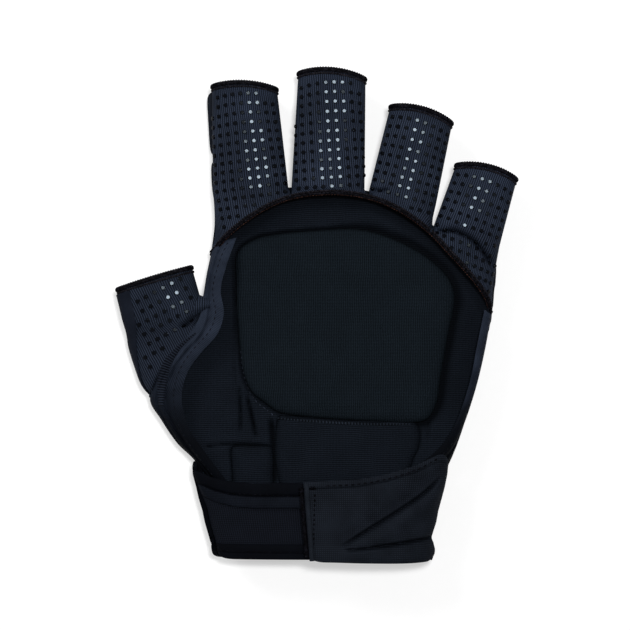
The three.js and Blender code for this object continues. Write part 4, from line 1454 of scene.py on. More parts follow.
@dataclass
class Cuff:
    """The cuff round the wrist, with its strap and the flap that closes over it."""

    length: float = 40.6
    top_width: float = 104.0
    bottom_width: float = 91.5
    height: float = 15.7
    squareness: float = 2.6
    hinge_rise: float = 1.884
    seam_dip: float = 14.0
    low_edge: float = -103.137
    strap_dip: float = 6.4
    strap_end: float = 19.0
    binding_width: float = 10.6
    hem_width: float = 7.4
    flap_edge: float = -8.2
    flap_lift: float = 5.1
    flap_dip: float = 8.6
    patch_inset: float = 2.4
    patch_width: float = 17.0
    left_swell: Rows = (
        (0, 2), (6, 2.1), (11, 2.5), (16, 2.9), (21, 2.9), (26, 3.4), (31, 3.5),
        (36, 3.8), (41, 3),
    )
    right_swell: Rows = (
        (0, -1.9), (5, -1.9), (7.5, -2.2), (9.5, -3.1), (12, -2.6), (16, -1.7), (21, -1.3),
        (26, -0.4), (31, 0.4), (36, 0.9), (41, 0.9),
    )
    strap_crown: Rows = (
        (-51, 38), (-47.7, 37), (-43.5, 35.2), (-36.7, 33.6), (-26.7, 32.8), (-10, 33), (0, 32.6),
        (19, 31.8),
    )
    flap_crown: Rows = (
        (-6, 33.8), (3, 34.1), (18.1, 34.9), (29.8, 36.9), (41.4, 40.3), (50.8, 44.6), (57.5, 46.5),
    )
    middles: tuple[float, float] = (0.393, 0.375)
    flap_folds: tuple[Crease, ...] = (
        Crease(
            ((54, -66.5), (46.4, -74), (34.2, -82.2), (22.1, -89.6), (14, -94.6), (9.6, -97.2)),
            2.9, 0.7, 1.5, 4, 1.5, 5.5,
        ),
        Crease(
            ((10, -97.8), (17, -97.4), (30.9, -95.9), (42, -94.3), (57.5, -92)),
            3.6, 0.65, 0.6, 3.2,
        ),
    )

    def half_width(self, y: Array | float) -> Array:
        """Half of the cuff's width at a height over its lower edge."""
        return mix(self.bottom_width, self.top_width, np.asarray(y) / self.length) / 2

    def point(self, turns: Array, y: Array, lift: float = 0.0) -> Array:
        """Points round the cuff, at a lift over the strap's level."""
        turns, y = np.broadcast_arrays(np.asarray(turns, float), np.asarray(y, float))
        x, z = oval(self.half_width(y), self.height / 2 + lift, self.squareness, turns)
        share = x / self.half_width(y)
        x = x - np.interp(y, *zip(*self.left_swell)) * ease(-share, 0.5, 1.0)
        x = x + np.interp(y, *zip(*self.right_swell)) * ease(share, 0.5, 1.0)
        middle = mix(*self.middles, y / self.length) * PLAN.breadth + PLAN.left
        floor = LAYERS.tube_floor + self.height / 2
        return np.stack([middle + x, y + self.low_edge, floor + z], -1)

    def turns_at_height(self, lift: float, rise: float) -> float:
        """The turns at which the right side is this high over the cuff's middle."""
        share = rise / (self.height / 2 + lift)
        return math.asin(share ** (self.squareness / 2)) / (2 * math.pi)

    def turns_across(self, across: float) -> float:
        """The turns at which the top is this far to the right of the cuff's middle."""
        share = across / float(self.half_width(self.length / 2))
        return math.acos(math.copysign(abs(share) ** (self.squareness / 2), share)) / (2 * math.pi)

    def layer(
        self,
        name: str,
        spans: tuple[float, float],
        edges: tuple[Formula, Formula],
        lift: float,
        wall: float,
        counts: tuple[int, int],
        shape: Callable[[Array, Array, Array], Array],
    ) -> Piece:
        """Make one layer of the cuff.

        Args:
            name: The piece's name.
            spans: The turns at which it starts and ends.
            edges: Its lower and its upper edge at shares of the span.
            lift: How far it lies over the strap's level.
            wall: Its thickness.
            counts: Its columns and rows.
            shape: Moves its points, from the shares along and up.

        Returns:
            The piece.
        """
        u, v = grid(*counts)
        low, high = edges
        y = mix(low(u), high(u), v)
        points = shape(self.point(mix(*spans, u), y, lift), u, v)
        runs = np.linalg.norm(np.diff(points[len(points) // 2], axis=0), axis=1)
        arcs = np.concatenate([[0], np.cumsum(runs)])
        weave = np.stack([np.broadcast_to(arcs, y.shape), y], -1)
        return Cloth(name).patch(points, weave, flip=True).finish(wall)

    def round_corner(self, u: Array, at: float, width: float, rise: float) -> Array:
        """How far the lower edge rises at the rounded corner near a share of the span."""
        near = np.clip(1 - np.abs(u - at) / width, 0, 1)
        return rise * (1 - np.sqrt(1 - near**2))

    def make_back(self) -> Piece:
        """The cuff's back, round both sides of the wrist."""
        right = self.turns_at_height(0, self.hinge_rise - 0.15)
        spans = (0.5 - right, 1 + right)

        def low(u: Array) -> Array:
            """The lower edge, rounded at its left end."""
            return 0.9 * ease(u, 0.3, 0.1) + self.round_corner(u, 0.0, 0.16, 7.0)

        def high(u: Array) -> Array:
            """The seam with the back cloth, which dips at the wrist, with a little overlap."""
            turns = mix(*spans, u)
            across = np.abs(oval(1, 1, self.squareness, turns)[0])
            dip = np.where((turns > 0.5) & (turns < 1), 1 - ease(across, 0.62, 0.86), 0)
            return self.length - self.seam_dip * dip + 0.8 - 3.6 * ease(u, 0.1, 0.0)

        def shape(points: Array, u: Array, v: Array) -> Array:
            """A rolled lower hem."""
            y = points[..., 1] - self.low_edge
            relief = 0.35 * dome(y, 0.0, 6.4) - 0.3 * bell(y, 6.8, 0.5)
            return points - facing(points) * relief[..., None]

        return self.layer("cuff_back", spans, (low, high), 0.0, 1.8, (180, 60), shape)

    @property
    def strap_span(self) -> tuple[float, float]:
        """The turns at which the strap starts under the flap and ends at the wrist's left."""
        return self.turns_across(self.strap_end), 0.5 - self.turns_at_height(0, self.hinge_rise + 0.15)

    def strap_top(self, u: Array) -> Array:
        """The strap's upper edge at shares of its span, lower where the flap covers it."""
        place = self.point(mix(*self.strap_span, u), np.full(np.shape(u), self.length - 4.0))
        return np.interp(place[..., 0], *zip(*self.strap_crown))

    def make_strap(self) -> dict[str, Piece]:
        """The strap under the flap: its three sewn stretches and the fold of its binding."""
        lap = 0.25

        def binding(v: Array) -> Array:
            """A folded binding: two soft rolls with a dip at the stitches between them."""
            return 0.4 + 0.7 * dome(v, 0.48, 1) + 0.75 * dome(v, 0, 0.48) - 0.3 * bell(v, 0.5, 0.045)

        def elastic(v: Array) -> Array:
            """Flat elastic, sunk between its bindings."""
            return np.full(v.shape, -0.35)

        def hem(v: Array) -> Array:
            """A rolled hem with a dip at its stitches."""
            return 0.25 + 0.75 * dome(v, 0.42, 1) + 0.45 * dome(v, 0, 0.42)

        def fold(v: Array) -> Array:
            """The lower fold of the binding, a little rounded."""
            return 1.0 + 0.45 * dome(v, 0, 1)

        def under_binding(lift: float) -> Formula:
            """An edge this far over the upper binding's lower edge."""
            return lambda u: self.strap_top(u) - self.binding_width + lift

        def rounded(u: Array) -> Array:
            """The lower edge, rounded at its left end."""
            return 0.9 + self.round_corner(u, 1.0, 0.3, 5.8)

        def stretch(
            name: str,
            low: Formula,
            high: Formula,
            lift: float,
            wall: float,
            rows: int,
            swell: Formula,
            wave: float = 0.0,
        ) -> Piece:
            """Make one stretch of the strap, drawn in where it turns round the wrist.

            Args:
                name: The piece's name.
                low: Its lower edge.
                high: Its upper edge.
                lift: How far it lies over the strap's level.
                wall: Its thickness.
                rows: Its rows.
                swell: How far its face rises on the palm side, at shares up.
                wave: How high its slow wave is.

            Returns:
                The piece.
            """

            def shape(points: Array, u: Array, v: Array) -> Array:
                """Draw the stretch in and raise its face."""
                y = points[..., 1] - self.low_edge
                amount = ease(u, 0.78, 1.0) * ease(self.length - y, 3.0, 19.0)
                amount = amount * (0.6 + 0.4 * ease(y, 0.0, 9.0))
                moved = points.copy()
                moved[..., 0] += 1.8 * amount
                moved[..., 2] += wave * np.sin(points[..., 0] * 0.45) * np.sin(v * math.pi)
                moved[..., 2] += swell(v) * ease(points[..., 2], 16, 19)
                return moved

            return self.layer(name, self.strap_span, (low, high), lift, wall, (120, rows), shape)

        parts = (
            ("strap_fold", under_binding(0.2), under_binding(4.7), 0.15, 0.9, 14, fold),
            ("strap_top_binding", under_binding(0.0), self.strap_top, 0.0, 1.6, 36, binding),
            ("strap_elastic", level(self.hem_width - lap), under_binding(lap), 0.0, 1.5, 30, elastic, 0.15),
            ("strap_bottom_binding", rounded, level(self.hem_width), 0.0, 1.6, 30, hem),
        )
        return {name: stretch(name, *rest) for name, *rest in parts}

    @property
    def flap_span(self) -> tuple[float, float]:
        """The turns at the flap's hinge line and at its free edge."""
        return self.turns_at_height(self.flap_lift, self.hinge_rise + 0.1), self.turns_across(self.flap_edge)

    def flap_top(self, u: Array) -> Array:
        """The flap's upper edge at shares of the way from its hinge to its free edge."""
        place = self.point(mix(*self.flap_span, u), np.full(np.shape(u), self.length), self.flap_lift)
        crown = np.interp(place[..., 0], *zip(*self.flap_crown))
        return mix(self.length + 0.4, crown, ease(place[..., 2], 16.5, 22.5))

    def make_flap(self) -> Piece:
        """The flap, with the folds that it takes when it is closed."""

        def low(u: Array) -> Array:
            """The lower edge, a little fuller at its middle and rounded at both ends."""
            corners = self.round_corner(u, 0.0, 0.2, 3.6) + self.round_corner(u, 1.0, 0.06, 2.6)
            return 0.5 - 0.8 * np.sin(np.clip(u, 0, 1) * math.pi) + corners

        def shape(points: Array, u: Array, v: Array) -> Array:
            """Folds, the rolled hem and the stitched binding at the top."""
            palm = ease(points[..., 2], 17.5, 22.0)
            down = points[..., 1] - self.low_edge
            under_top = self.flap_top(u) - down
            rise = sum(crease.rise(points) for crease in self.flap_folds)
            rise = rise + 0.55 * dome(under_top, 0.0, 3.0) - 0.4 * bell(under_top, 3.2, 0.35)
            rise = rise + 1.7 * dome(down, -0.5, 7.3) * ease(u, 1.0, 0.8)
            rise = rise + 0.9 * bell(points[..., 0], 14, 14) * bell(points[..., 1], -82, 9)
            moved = points.copy()
            moved[..., 2] += rise * palm
            moved[..., 0] += (1 - palm) * 0.9 * bell(down, 3.6, 3.2)
            return moved

        edges = (low, self.flap_top)
        return self.layer("flap_panel", self.flap_span, edges, self.flap_lift, 2.2, (190, 130), shape)

    def patch_grid(self, lift: float) -> Array:
        """Points of a fastener patch, at a lift over the strap's level."""
        near = self.flap_edge + self.patch_inset
        u, v = grid(30, 20)
        low = self.hem_width + self.patch_inset
        high = self.length - self.strap_dip - self.binding_width - self.patch_inset
        turns = mix(self.turns_across(near + self.patch_width), self.turns_across(near), u)
        return self.point(turns, mix(low, high, v), lift)


@dataclass
class Fastener:
    """The loop and hook patches between the strap and the flap."""

    cuff: Cuff
    backing: float = 0.7
    loop_lift: float = 1.2
    hook_lift: float = 2.4
    hook_root: float = 1.55

    def backing_piece(self, name: str, lift: float) -> Piece:
        """The woven tape under the loops or hooks."""
        return Cloth(name).patch(self.cuff.patch_grid(lift), flip=True).finish(self.backing)

    def roots(self, lift: float) -> tuple[Array, Array]:
        """Where the hooks or loops stand, and the directions out of the palm side there."""
        points = self.cuff.patch_grid(lift)
        inner = slice(2, -2)
        ups = facing(points)[inner, inner].reshape(-1, 3)
        return points[inner, inner].reshape(-1, 3), ups * np.sign(ups[:, 2:])

    def make_hooks(self) -> Piece:
        """The hooks, which stand on the upper patch and point down at the loops."""
        places, ups = self.roots(self.hook_root)
        return hook().set_at("hook_patch_hooks", places, -ups, np.array([0.0, 1.0, 0.0]), (0.55, 0.55, 0.55))

    def make_loops(self) -> Piece:
        """The loops of the lower patch: short arched threads."""
        places, ups = self.roots(self.loop_lift)
        angles = np.random.default_rng(31).uniform(0, 2 * math.pi, len(places))
        headings = np.stack([np.cos(angles), np.sin(angles), 0 * angles], 1)
        return stitch().set_at("loop_patch_loops", places, ups, headings, (1.0, 0.3, 0.55))


# Edges and thread


def straight_up(points: Array) -> Array:
    """The direction out of cloth that lies flat with its palm side up."""
    return np.tile(UP, (len(points), 1))


@dataclass
class Edges:
    """The overlocked edges of the glove."""

    mouth: Rope = Rope(1.1, 1.1, 1.1, 0.14, 1.5, 12, 7)
    mouth_setback: float = 1.2
    palm: Rope = Rope(0.7, 0.75, 1.15, 0.2, 1.5, 10, 7)
    braid: Rope = Rope(0.42, 0.4, 1.2, 0.3, 1.0, 7, 7)
    inner_thread: Rope = Rope(0.26, 0.26, 1.3, 0.3, 1.0, 6, 6)
    flap: Rope = Rope(1.0, 1.1, 1.15, 0.2, 1.4, 12, 7)
    flap_roll: Rope = Rope(1.05, 1.0, 1.6, 0.05, 0.4, 12, 6)

    def around(self, digit: Digit, place: float) -> tuple[Array, Array]:
        """Points round a sleeve at a place along it, and their middle."""
        turns = -np.linspace(0, 1, 72, endpoint=False)
        return digit.ring(turns, np.full(len(turns), place)), digit.point(0.0, place, LAYERS.middle)

    def make_mouth(self, digit: Digit) -> Piece:
        """The overlocked ring round the mouth of a sleeve."""
        ring, centre = self.around(digit, digit.length - self.mouth_setback)
        half_width, half_height = float(digit.half_width(digit.length)), LAYERS.tube_height / 2

        def slope(place: Array, half: float) -> Array:
            """How steep the squared oval is at places across one of its halves."""
            return np.sign(place) * (np.abs(place) / half) ** (LAYERS.squareness - 1) / half

        def ups(points: Array) -> Array:
            """The directions out of the sleeve."""
            apart = points - centre
            side, rise = slope(apart @ digit.across, half_width), slope(apart[:, 2], half_height)
            return unit(side[:, None] * digit.across + rise[:, None] * UP)

        line = Line(ring - ups(ring) * 0.35, closed=True)
        return self.mouth.make(f"{digit.name}_tip_hem", line, ups)

    def make_mouth_braid(self, digit: Digit) -> Piece:
        """The chain of thread beside the ring at the mouth."""
        ring, centre = self.around(digit, digit.length - self.mouth_setback * 2 - 0.4)

        def ups(points: Array) -> Array:
            """The directions out of the sleeve."""
            return unit(points - centre)

        line = Line(ring + ups(ring) * 0.1, closed=True)
        return self.braid.make(f"{digit.name}_hem_chain", line, ups)

    def make_palm(self) -> dict[str, Piece]:
        """The overlocked edge of the open palm, its chain and the brown thread inside it."""
        rows = HEM.along(np.linspace(0, HEM.length - 1.2, 60)) - SEAM_SINK * UP
        inner = HEM.along(np.linspace(0.8, HEM.length - 4.2, 60))
        heading = unit(np.gradient(inner, axis=0))
        inward = unit(np.stack([heading[:, 1], -heading[:, 0], np.zeros(len(inner))], -1))
        outer = inner - inward * 0.95 + 0.2 * UP
        inner = inner + inward * 0.62 - 0.5 * UP
        return {
            "palm_hem": self.palm.make("palm_hem", Line(rows), straight_up),
            "palm_hem_chain": self.braid.make("palm_hem_chain", Line(outer), straight_up),
            "palm_hem_thread": self.inner_thread.make("palm_hem_thread", Line(inner), straight_up),
        }

    def along_flap(self, cuff: Cuff, across: float, ends: tuple[float, float], lift: float) -> Line:
        """A line beside the flap's free edge."""
        turns = cuff.turns_across(cuff.flap_edge + across)
        y = np.linspace(ends[0], cuff.length - cuff.flap_dip + ends[1], 40)
        return Line(cuff.point(np.full(40, turns), y, cuff.flap_lift + lift))

    def make_flap_edge(self, cuff: Cuff) -> Piece:
        """The overlocked free edge of the flap."""
        line = self.along_flap(cuff, -0.9, (2.6, -0.6), -0.6)
        return self.flap.make("flap_edge_binding", line, straight_up)

    def make_flap_ridge(self, cuff: Cuff) -> Piece:
        """The paler cord of thread beside the flap's overlocked edge."""
        line = self.along_flap(cuff, 1.2, (1.0, 1.2), 0.2)
        return self.flap_roll.make("flap_edge_roll", line, straight_up)


def crotch_fold() -> Piece:
    """The tuck of knit between the thumb's sleeve and the side band."""
    left = Line([(-53.6, -1.6, 19.6), (-51.4, 2.4, 21.0), (-49.4, 6.4, 19.8), (-48.9, 8.6, 16.0)])
    right = Line([(-42.0, 4.0, 17.8), (-41.9, 4.6, 18.8), (-42.0, 5.3, 18.8), (-42.4, 6.0, 17.0)])
    u, v = grid(26, 18)
    points = mix(left.at(v), right.at(v), u[..., None])
    points[..., 2] += 0.7 * np.sin(u * math.pi) * np.sin(v * math.pi)
    return Cloth("thumb_crotch_fold").patch(points).finish(1.1)


def thumb_panel(sleeve: ThumbSleeve) -> Piece:
    """The smooth panel down the outer side of the thumb, over the ribbed knit."""
    y = np.linspace(sleeve.digit.length - 3.4, -sleeve.base_length, 80)[:, None]
    width = np.interp(-y, [-12, 0, 12, 24, 33, 40], [15.2, 14.6, 14.0, 11.0, 8.0, 5.0])
    u = np.linspace(0, 1, 22)[None]
    arcs = sleeve.left - 0.4 + u * width
    y = np.broadcast_to(y, arcs.shape)
    lift = 0.45 + 0.4 * np.sqrt(1 - (2 * u - 1) ** 6)
    points = sleeve.point(arcs, y) + sleeve.normal(arcs, y) * np.broadcast_to(lift, arcs.shape)[..., None]
    return Cloth("thumb_side_panel").patch(points, np.stack([arcs, y], -1), flip=True).finish(0.9)


# Finishes


class Nodes:
    """A node tree while it is laid."""

    def __init__(self, tree: bpy.types.NodeTree) -> None:
        """Start with the tree as it is."""
        self.tree = tree

    def node(self, kind: str, **inputs: object) -> bpy.types.Node:
        """Add a node and set or link its inputs, with spaces for underscores in their names."""
        node = self.tree.nodes.new("ShaderNode" + kind)
        for name, given in inputs.items():
            self.put(node.inputs[name.replace("_", " ")], given)
        return node

    def put(self, socket: Socket, given: object) -> None:
        """Link a socket, or set its value."""
        if isinstance(given, Socket):
            self.tree.links.new(given, socket)
        else:
            socket.default_value = given

    def sum(self, operation: str, *terms: object) -> Socket:
        """The result of one sum on one, two or three terms."""
        node = self.tree.nodes.new("ShaderNodeMath")
        node.operation = operation
        for socket, term in zip(node.inputs, terms):
            self.put(socket, term)
        return node.outputs[0]

    def on(self, under: object, over: Socket, amount: float) -> Socket:
        """One height with this much of another laid on it."""
        return self.sum("MULTIPLY_ADD", over, amount, under)

    def span(self, value: Socket, start: float, end: float, least: float) -> Socket:
        """A share that goes from the least at the start to 1 at the end."""
        node = self.node("MapRange", Value=value, From_Min=start, From_Max=end, To_Min=least)
        return node.outputs["Result"]


class Shade(Nodes):
    """One material while its nodes are laid."""

    def __init__(self, name: str, roughness: float, specular: float) -> None:
        """Start a material with this dullness and this strength of gloss."""
        self.material = bpy.data.materials.new(name)
        self.material.use_nodes = True
        super().__init__(self.material.node_tree)
        self.face = self.tree.nodes["Principled BSDF"].inputs
        self.put(self.face["Roughness"], roughness)
        self.put(self.face["Specular IOR Level"], specular)

    def weave(self) -> tuple[Socket, Socket]:
        """The two places on the flat cloth, in millimetres."""
        node = self.node("UVMap")
        node.uv_map = "weave"
        split = self.node("SeparateXYZ", Vector=node.outputs["UV"])
        return split.outputs["X"], split.outputs["Y"]

    def places(self) -> Socket:
        """Places on the object, in millimetres."""
        scaled = self.node("VectorMath", Vector=self.node("TexCoord").outputs["Object"])
        scaled.operation = "SCALE"
        scaled.inputs["Scale"].default_value = 1 / MM
        return scaled.outputs["Vector"]

    def axes(self) -> bpy.types.NodeOutputs:
        """The three coordinates of places on the object, in millimetres."""
        return self.node("SeparateXYZ", Vector=self.places()).outputs

    def ribs(self, place: Socket, pitch: float, shift: object = 0.0) -> Socket:
        """Round ribs, from 0 in the valleys to 1 on the crests."""
        phase = self.sum("MULTIPLY_ADD", place, 2 * math.pi / pitch, shift)
        return self.sum("MULTIPLY_ADD", self.sum("SINE", phase), 0.5, 0.5)

    def noise(self, size: float, detail: float = 2.0) -> Socket:
        """Cloudy noise with blots of this size in millimetres."""
        return self.node("TexNoise", Vector=self.places(), Scale=1 / size, Detail=detail).outputs["Fac"]

    def paint(self, height: Socket, full: float, base: Colour, *stops: tuple[float, float]) -> None:
        """Colour the face by a height.

        Args:
            height: The height, or any share.
            full: The height that is the ramp's end.
            base: The colour at strength 1.
            stops: Places on the ramp, and the colour's strength at each.
        """
        share = height if full == 1 else self.sum("DIVIDE", height, full)
        node = self.node("ValToRGB", Fac=share)
        marks = node.color_ramp.elements
        while len(marks) < len(stops):
            marks.new(0.5)
        for mark, (place, strength) in zip(marks, stops):
            mark.position = place
            mark.color = (*(part * strength for part in base), 1)
        self.put(self.face["Base Color"], node.outputs["Color"])

    def bump(self, height: Socket, distance: float, strength: float) -> Material:
        """Give the face a relief of this many millimetres, and hand over the material."""
        node = self.node("Bump", Height=height, Distance=distance * MM, Strength=strength)
        self.put(self.face["Normal"], node.outputs["Normal"])
        return self.material


@dataclass(frozen=True)
class RibbedKnit:
    """The fine ribbed knit of the fingers, with the loops of its wales."""

    name: str = "navy_ribbed_knit"
    base: Colour = (0.0128, 0.0173, 0.0286)
    pitch: float = 0.95
    course: float = 0.72
    slot: Slot = Slot.GRIP_KNIT

    @cache
    def make(self) -> Material:
        """Make the material."""
        shade = Shade(self.name, 0.8, 0.04)
        u, v = shade.weave()
        bent = shade.on(u, shade.noise(7.0), 0.9)
        slope = shade.sum("PINGPONG", shade.sum("DIVIDE", bent, self.pitch), 0.5)
        loops = shade.ribs(v, self.course, shade.sum("MULTIPLY", slope, 7.0))
        height = shade.on(shade.ribs(bent, self.pitch), loops, 0.35)
        worn = shade.on(height, shade.noise(16.0, 3.0), 0.7)
        shade.paint(worn, 2.05, self.base, (0.12, 0.12), (0.42, 0.5), (0.75, 1.9), (1.0, 4.4))
        return shade.bump(height, 0.16, 0.9)


@dataclass(frozen=True)
class LiningKnit:
    """The matt lining over foam, with fine ribs across, and painted shade that darkens it in its hollows."""

    name: str = "dark_rib_lining"
    base: Colour = (0.0047, 0.0064, 0.0097)
    cross: float = 0.45
    pitch: float = 0.8
    upright: bool = False
    painted_shade_heights: tuple[float, float] = (9.2, 12.6)
    slot: Slot = Slot.LINING

    @cache
    def make(self) -> Material:
        """Make the material."""
        shade = Shade(self.name, 0.85, 0.025)
        u, v = reversed(shade.weave()) if self.upright else shade.weave()
        ribs = shade.ribs(shade.on(v, shade.noise(18.0), 2.2), self.pitch)
        height = shade.on(ribs, shade.ribs(u, 0.62), self.cross)
        cloudy = shade.on(shade.on(height, shade.noise(0.55), 0.7), shade.noise(9.0, 3.0), 0.35)
        # Painted shade: the colour darkens down to 0.3 of its strength over the low heights of the hollows.
        painted_shade_share = shade.span(shade.axes()["Z"], *self.painted_shade_heights, 0.3)
        cloudy = shade.sum("MULTIPLY", cloudy, painted_shade_share)
        shade.paint(cloudy, 2.25, self.base, (0.12, 0.12), (0.42, 0.65), (0.72, 1.4), (1.0, 2.6))
        return shade.bump(height, 0.13, 0.8)


@dataclass(frozen=True)
class Jersey:
    """Smooth stretch cloth with a very fine crossed knit, darker towards the wrist by painted shadow."""

    name: str
    base: Colour
    pitch: float = 0.62
    relief: float = 0.07
    squared: bool = False
    shadow: float = 1.0
    slot: Slot = Slot.JERSEY

    @cache
    def make(self) -> Material:
        """Make the material."""
        shade = Shade(self.name, 0.72, 0.02)
        u, v = shade.weave()
        if not self.squared:
            u, v = shade.sum("ADD", u, v), shade.sum("SUBTRACT", u, v)
        height = shade.sum("MULTIPLY", shade.ribs(u, self.pitch), shade.ribs(v, self.pitch))
        cloudy = shade.on(height, shade.noise(9.0, 3.0), 0.8)
        # Painted shadow: the colour darkens towards the wrist, and the ramp's darkest stop with it.
        if self.shadow < 1:
            painted_shade_share = shade.span(shade.axes()["Y"], -56.0, -12.0, self.shadow)
            cloudy = shade.sum("MULTIPLY", cloudy, painted_shade_share)
        dark = 0.3 * self.shadow**0.5
        shade.paint(cloudy, 1.8, self.base, (0.08, dark), (0.35, 0.8), (0.7, 1.7), (1.0, 2.9))
        return shade.bump(height, self.relief, 0.8)


@dataclass(frozen=True)
class RibbedElastic:
    """Elastic with close upright ribs and faint threads across."""

    name: str = "upright_rib_elastic"
    base: Colour = (0.0027, 0.0035, 0.0060)
    pitch: float = 0.95
    slot: Slot = Slot.ELASTIC

    @cache
    def make(self) -> Material:
        """Make the material."""
        shade = Shade(self.name, 0.7, 0.035)
        u, v = shade.weave()
        height = shade.on(shade.ribs(u, self.pitch), shade.ribs(v, 0.8), 0.65)
        cloudy = shade.on(height, shade.noise(8.0, 3.0), 0.6)
        shade.paint(cloudy, 2.0, self.base, (0.15, 0.35), (0.45, 0.8), (0.75, 1.4), (1.0, 2.4))
        return shade.bump(height, 0.14, 0.9)


@dataclass(frozen=True)
class Thread:
    """Sewing thread, with the fine twist of its strands."""

    name: str
    base: Colour
    twist: float = 0.45
    gloss: float = 0.025
    slot: Slot = Slot.THREAD

    @cache
    def make(self) -> Material:
        """Make the material."""
        shade = Shade(self.name, 0.55, self.gloss)
        strands = shade.noise(self.twist, 4.0)
        shade.paint(strands, 1, self.base, (0.34, 0.15), (0.5, 1.0), (0.7, 5.0))
        return shade.bump(strands, 0.12, 0.8)


@dataclass(frozen=True)
class Silicone:
    """The glossy silicone of the grip dots."""

    name: str = "gloss_silicone"
    base: Colour = (0.0010, 0.0011, 0.0020)
    slot: Slot = Slot.GRIP_KNIT

    @cache
    def make(self) -> Material:
        """Make the material."""
        shade = Shade(self.name, 0.14, 0.05)
        shade.put(shade.face["Specular Tint"], (0.72, 0.87, 1.0, 1))
        worn = shade.noise(2.6, 3.0)
        shade.paint(worn, 1, self.base, (0.35, 0.7), (0.8, 1.8))
        shade.put(shade.face["Roughness"], shade.sum("MULTIPLY_ADD", worn, 0.06, 0.08))
        return shade.material


@dataclass(frozen=True)
class FoamCover:
    """The laminated cover of the guards: fine crossed cloth, rubbed at its crests."""

    name: str
    base: Colour
    grain: float = 0.9
    slot: Slot = Slot.GUARD

    @cache
    def make(self) -> Material:
        """Make the material."""
        shade = Shade(self.name, 0.62, 0.06)
        axes = shade.axes()
        u, v, w = (shade.ribs(axes[k], self.grain) for k in range(3))
        height = shade.on(shade.sum("MULTIPLY", u, v), w, 0.3)
        cloudy = shade.on(height, shade.noise(11.0, 4.0), 0.8)
        shade.paint(cloudy, 2.1, self.base, (0.1, 0.5), (0.4, 0.85), (0.7, 1.3), (1.0, 2.0))
        return shade.bump(height, 0.1, 0.7)


@dataclass(frozen=True)
class Plastic:
    """The moulded nylon of the fastener."""

    name: str
    base: Colour
    roughness: float = 0.45
    slot: Slot = Slot.TAPE

    @cache
    def make(self) -> Material:
        """Make the material."""
        shade = Shade(self.name, self.roughness, 0.12)
        fuzz = shade.noise(0.5, 4.0)
        shade.paint(fuzz, 1, self.base, (0.35, 0.7), (0.7, 1.7))
        return shade.bump(fuzz, 0.08, 0.6)


@dataclass(frozen=True)
class Paper:
    """The white sheet that the glove lies on, which shows its shadow softly."""

    name: str = "white_sheet"
    cast: float = 0.5

    def make(self) -> Material:
        """Make the material."""
        shade = Shade(self.name, 0.95, 0.0)
        shade.paint(shade.noise(3.0, 3.0), 1, (1, 1, 1), (0.2, 0.54), (0.8, 0.56))
        path = shade.node("LightPath").outputs
        seen = shade.sum("MAXIMUM", path["Is Camera Ray"], path["Is Glossy Ray"])
        shade.put(shade.face["Emission Color"], (1, 1, 1, 1))
        shade.put(shade.face["Emission Strength"], shade.sum("MULTIPLY", seen, self.cast))
        return shade.material


Finish = RibbedKnit | LiningKnit | Jersey | RibbedElastic | Thread | Silicone | FoamCover | Plastic
KNIT = RibbedKnit()
SEAM_RIBS = RibbedKnit("seam_ribs", (0.0068, 0.0090, 0.0146), 1.1, slot=Slot.THREAD)
PAD_RIBS = RibbedKnit("pad_ribs", (0.0058, 0.0078, 0.0116), 1.35, slot=Slot.THREAD)
THUMB_KNIT = RibbedKnit("thumb_ribbed_knit", (0.0112, 0.0152, 0.0248))
# Each lining's last pair is the span of heights over which painted shade darkens it.
LINING = LiningKnit()
PAD_LINING = LiningKnit("pad_rib_lining", (0.0045, 0.0068, 0.0094), 0.6, 0.74, True, (10.0, 13.0))
# The band's painted shadow darkens it towards the wrist.
BAND = Jersey("grey_navy_band", (0.0186, 0.0246, 0.0392), shadow=0.07)
THUMB_PANEL = Jersey("thumb_panel_jersey", (0.0075, 0.0095, 0.0155))
FLAP = Jersey("flap_crossed_knit", (0.0074, 0.0094, 0.0136), 0.85, 0.13, True)
BINDING = Jersey("strap_binding_jersey", (0.0015, 0.0019, 0.0033), 0.7, 0.08)
STRAP_FOLD = Jersey("strap_fold_jersey", (0.0042, 0.0054, 0.0086), 0.7, 0.08, True)
ROLL = Jersey("flap_edge_jersey", (0.0100, 0.0125, 0.0175), 0.7, 0.08)
ELASTIC = RibbedElastic()
HEM_THREAD = Thread("black_overlock", (0.0023, 0.0022, 0.0031), 0.8, 0.012)
CHAIN = Thread("dark_chain_thread", (0.0042, 0.0038, 0.0050), 0.7)
SEAM_STITCH = Thread("seam_stitch_thread", (0.0010, 0.0010, 0.0016), 0.8, 0.015)
PAD_STITCH = Thread("navy_stitch_thread", (0.0088, 0.0108, 0.0165), 0.35)
BAND_STITCH = Thread("black_stitch_thread", (0.0018, 0.0022, 0.0034), 0.35)
BROWN = Thread("brown_thread", (0.0230, 0.0105, 0.0078), 0.6, 0.04)
SILICONE = Silicone()
GUARD = FoamCover("guard_cover", (0.0062, 0.0080, 0.0128))
LAMINATE = FoamCover("back_laminate", (0.0044, 0.0056, 0.0088), 0.6)
NYLON_TAPE = Plastic("nylon_tape", (0.0042, 0.0045, 0.0060))
NYLON_LOOPS = Plastic("nylon_loops", (0.0066, 0.0072, 0.0092), 0.6)


# Dressing


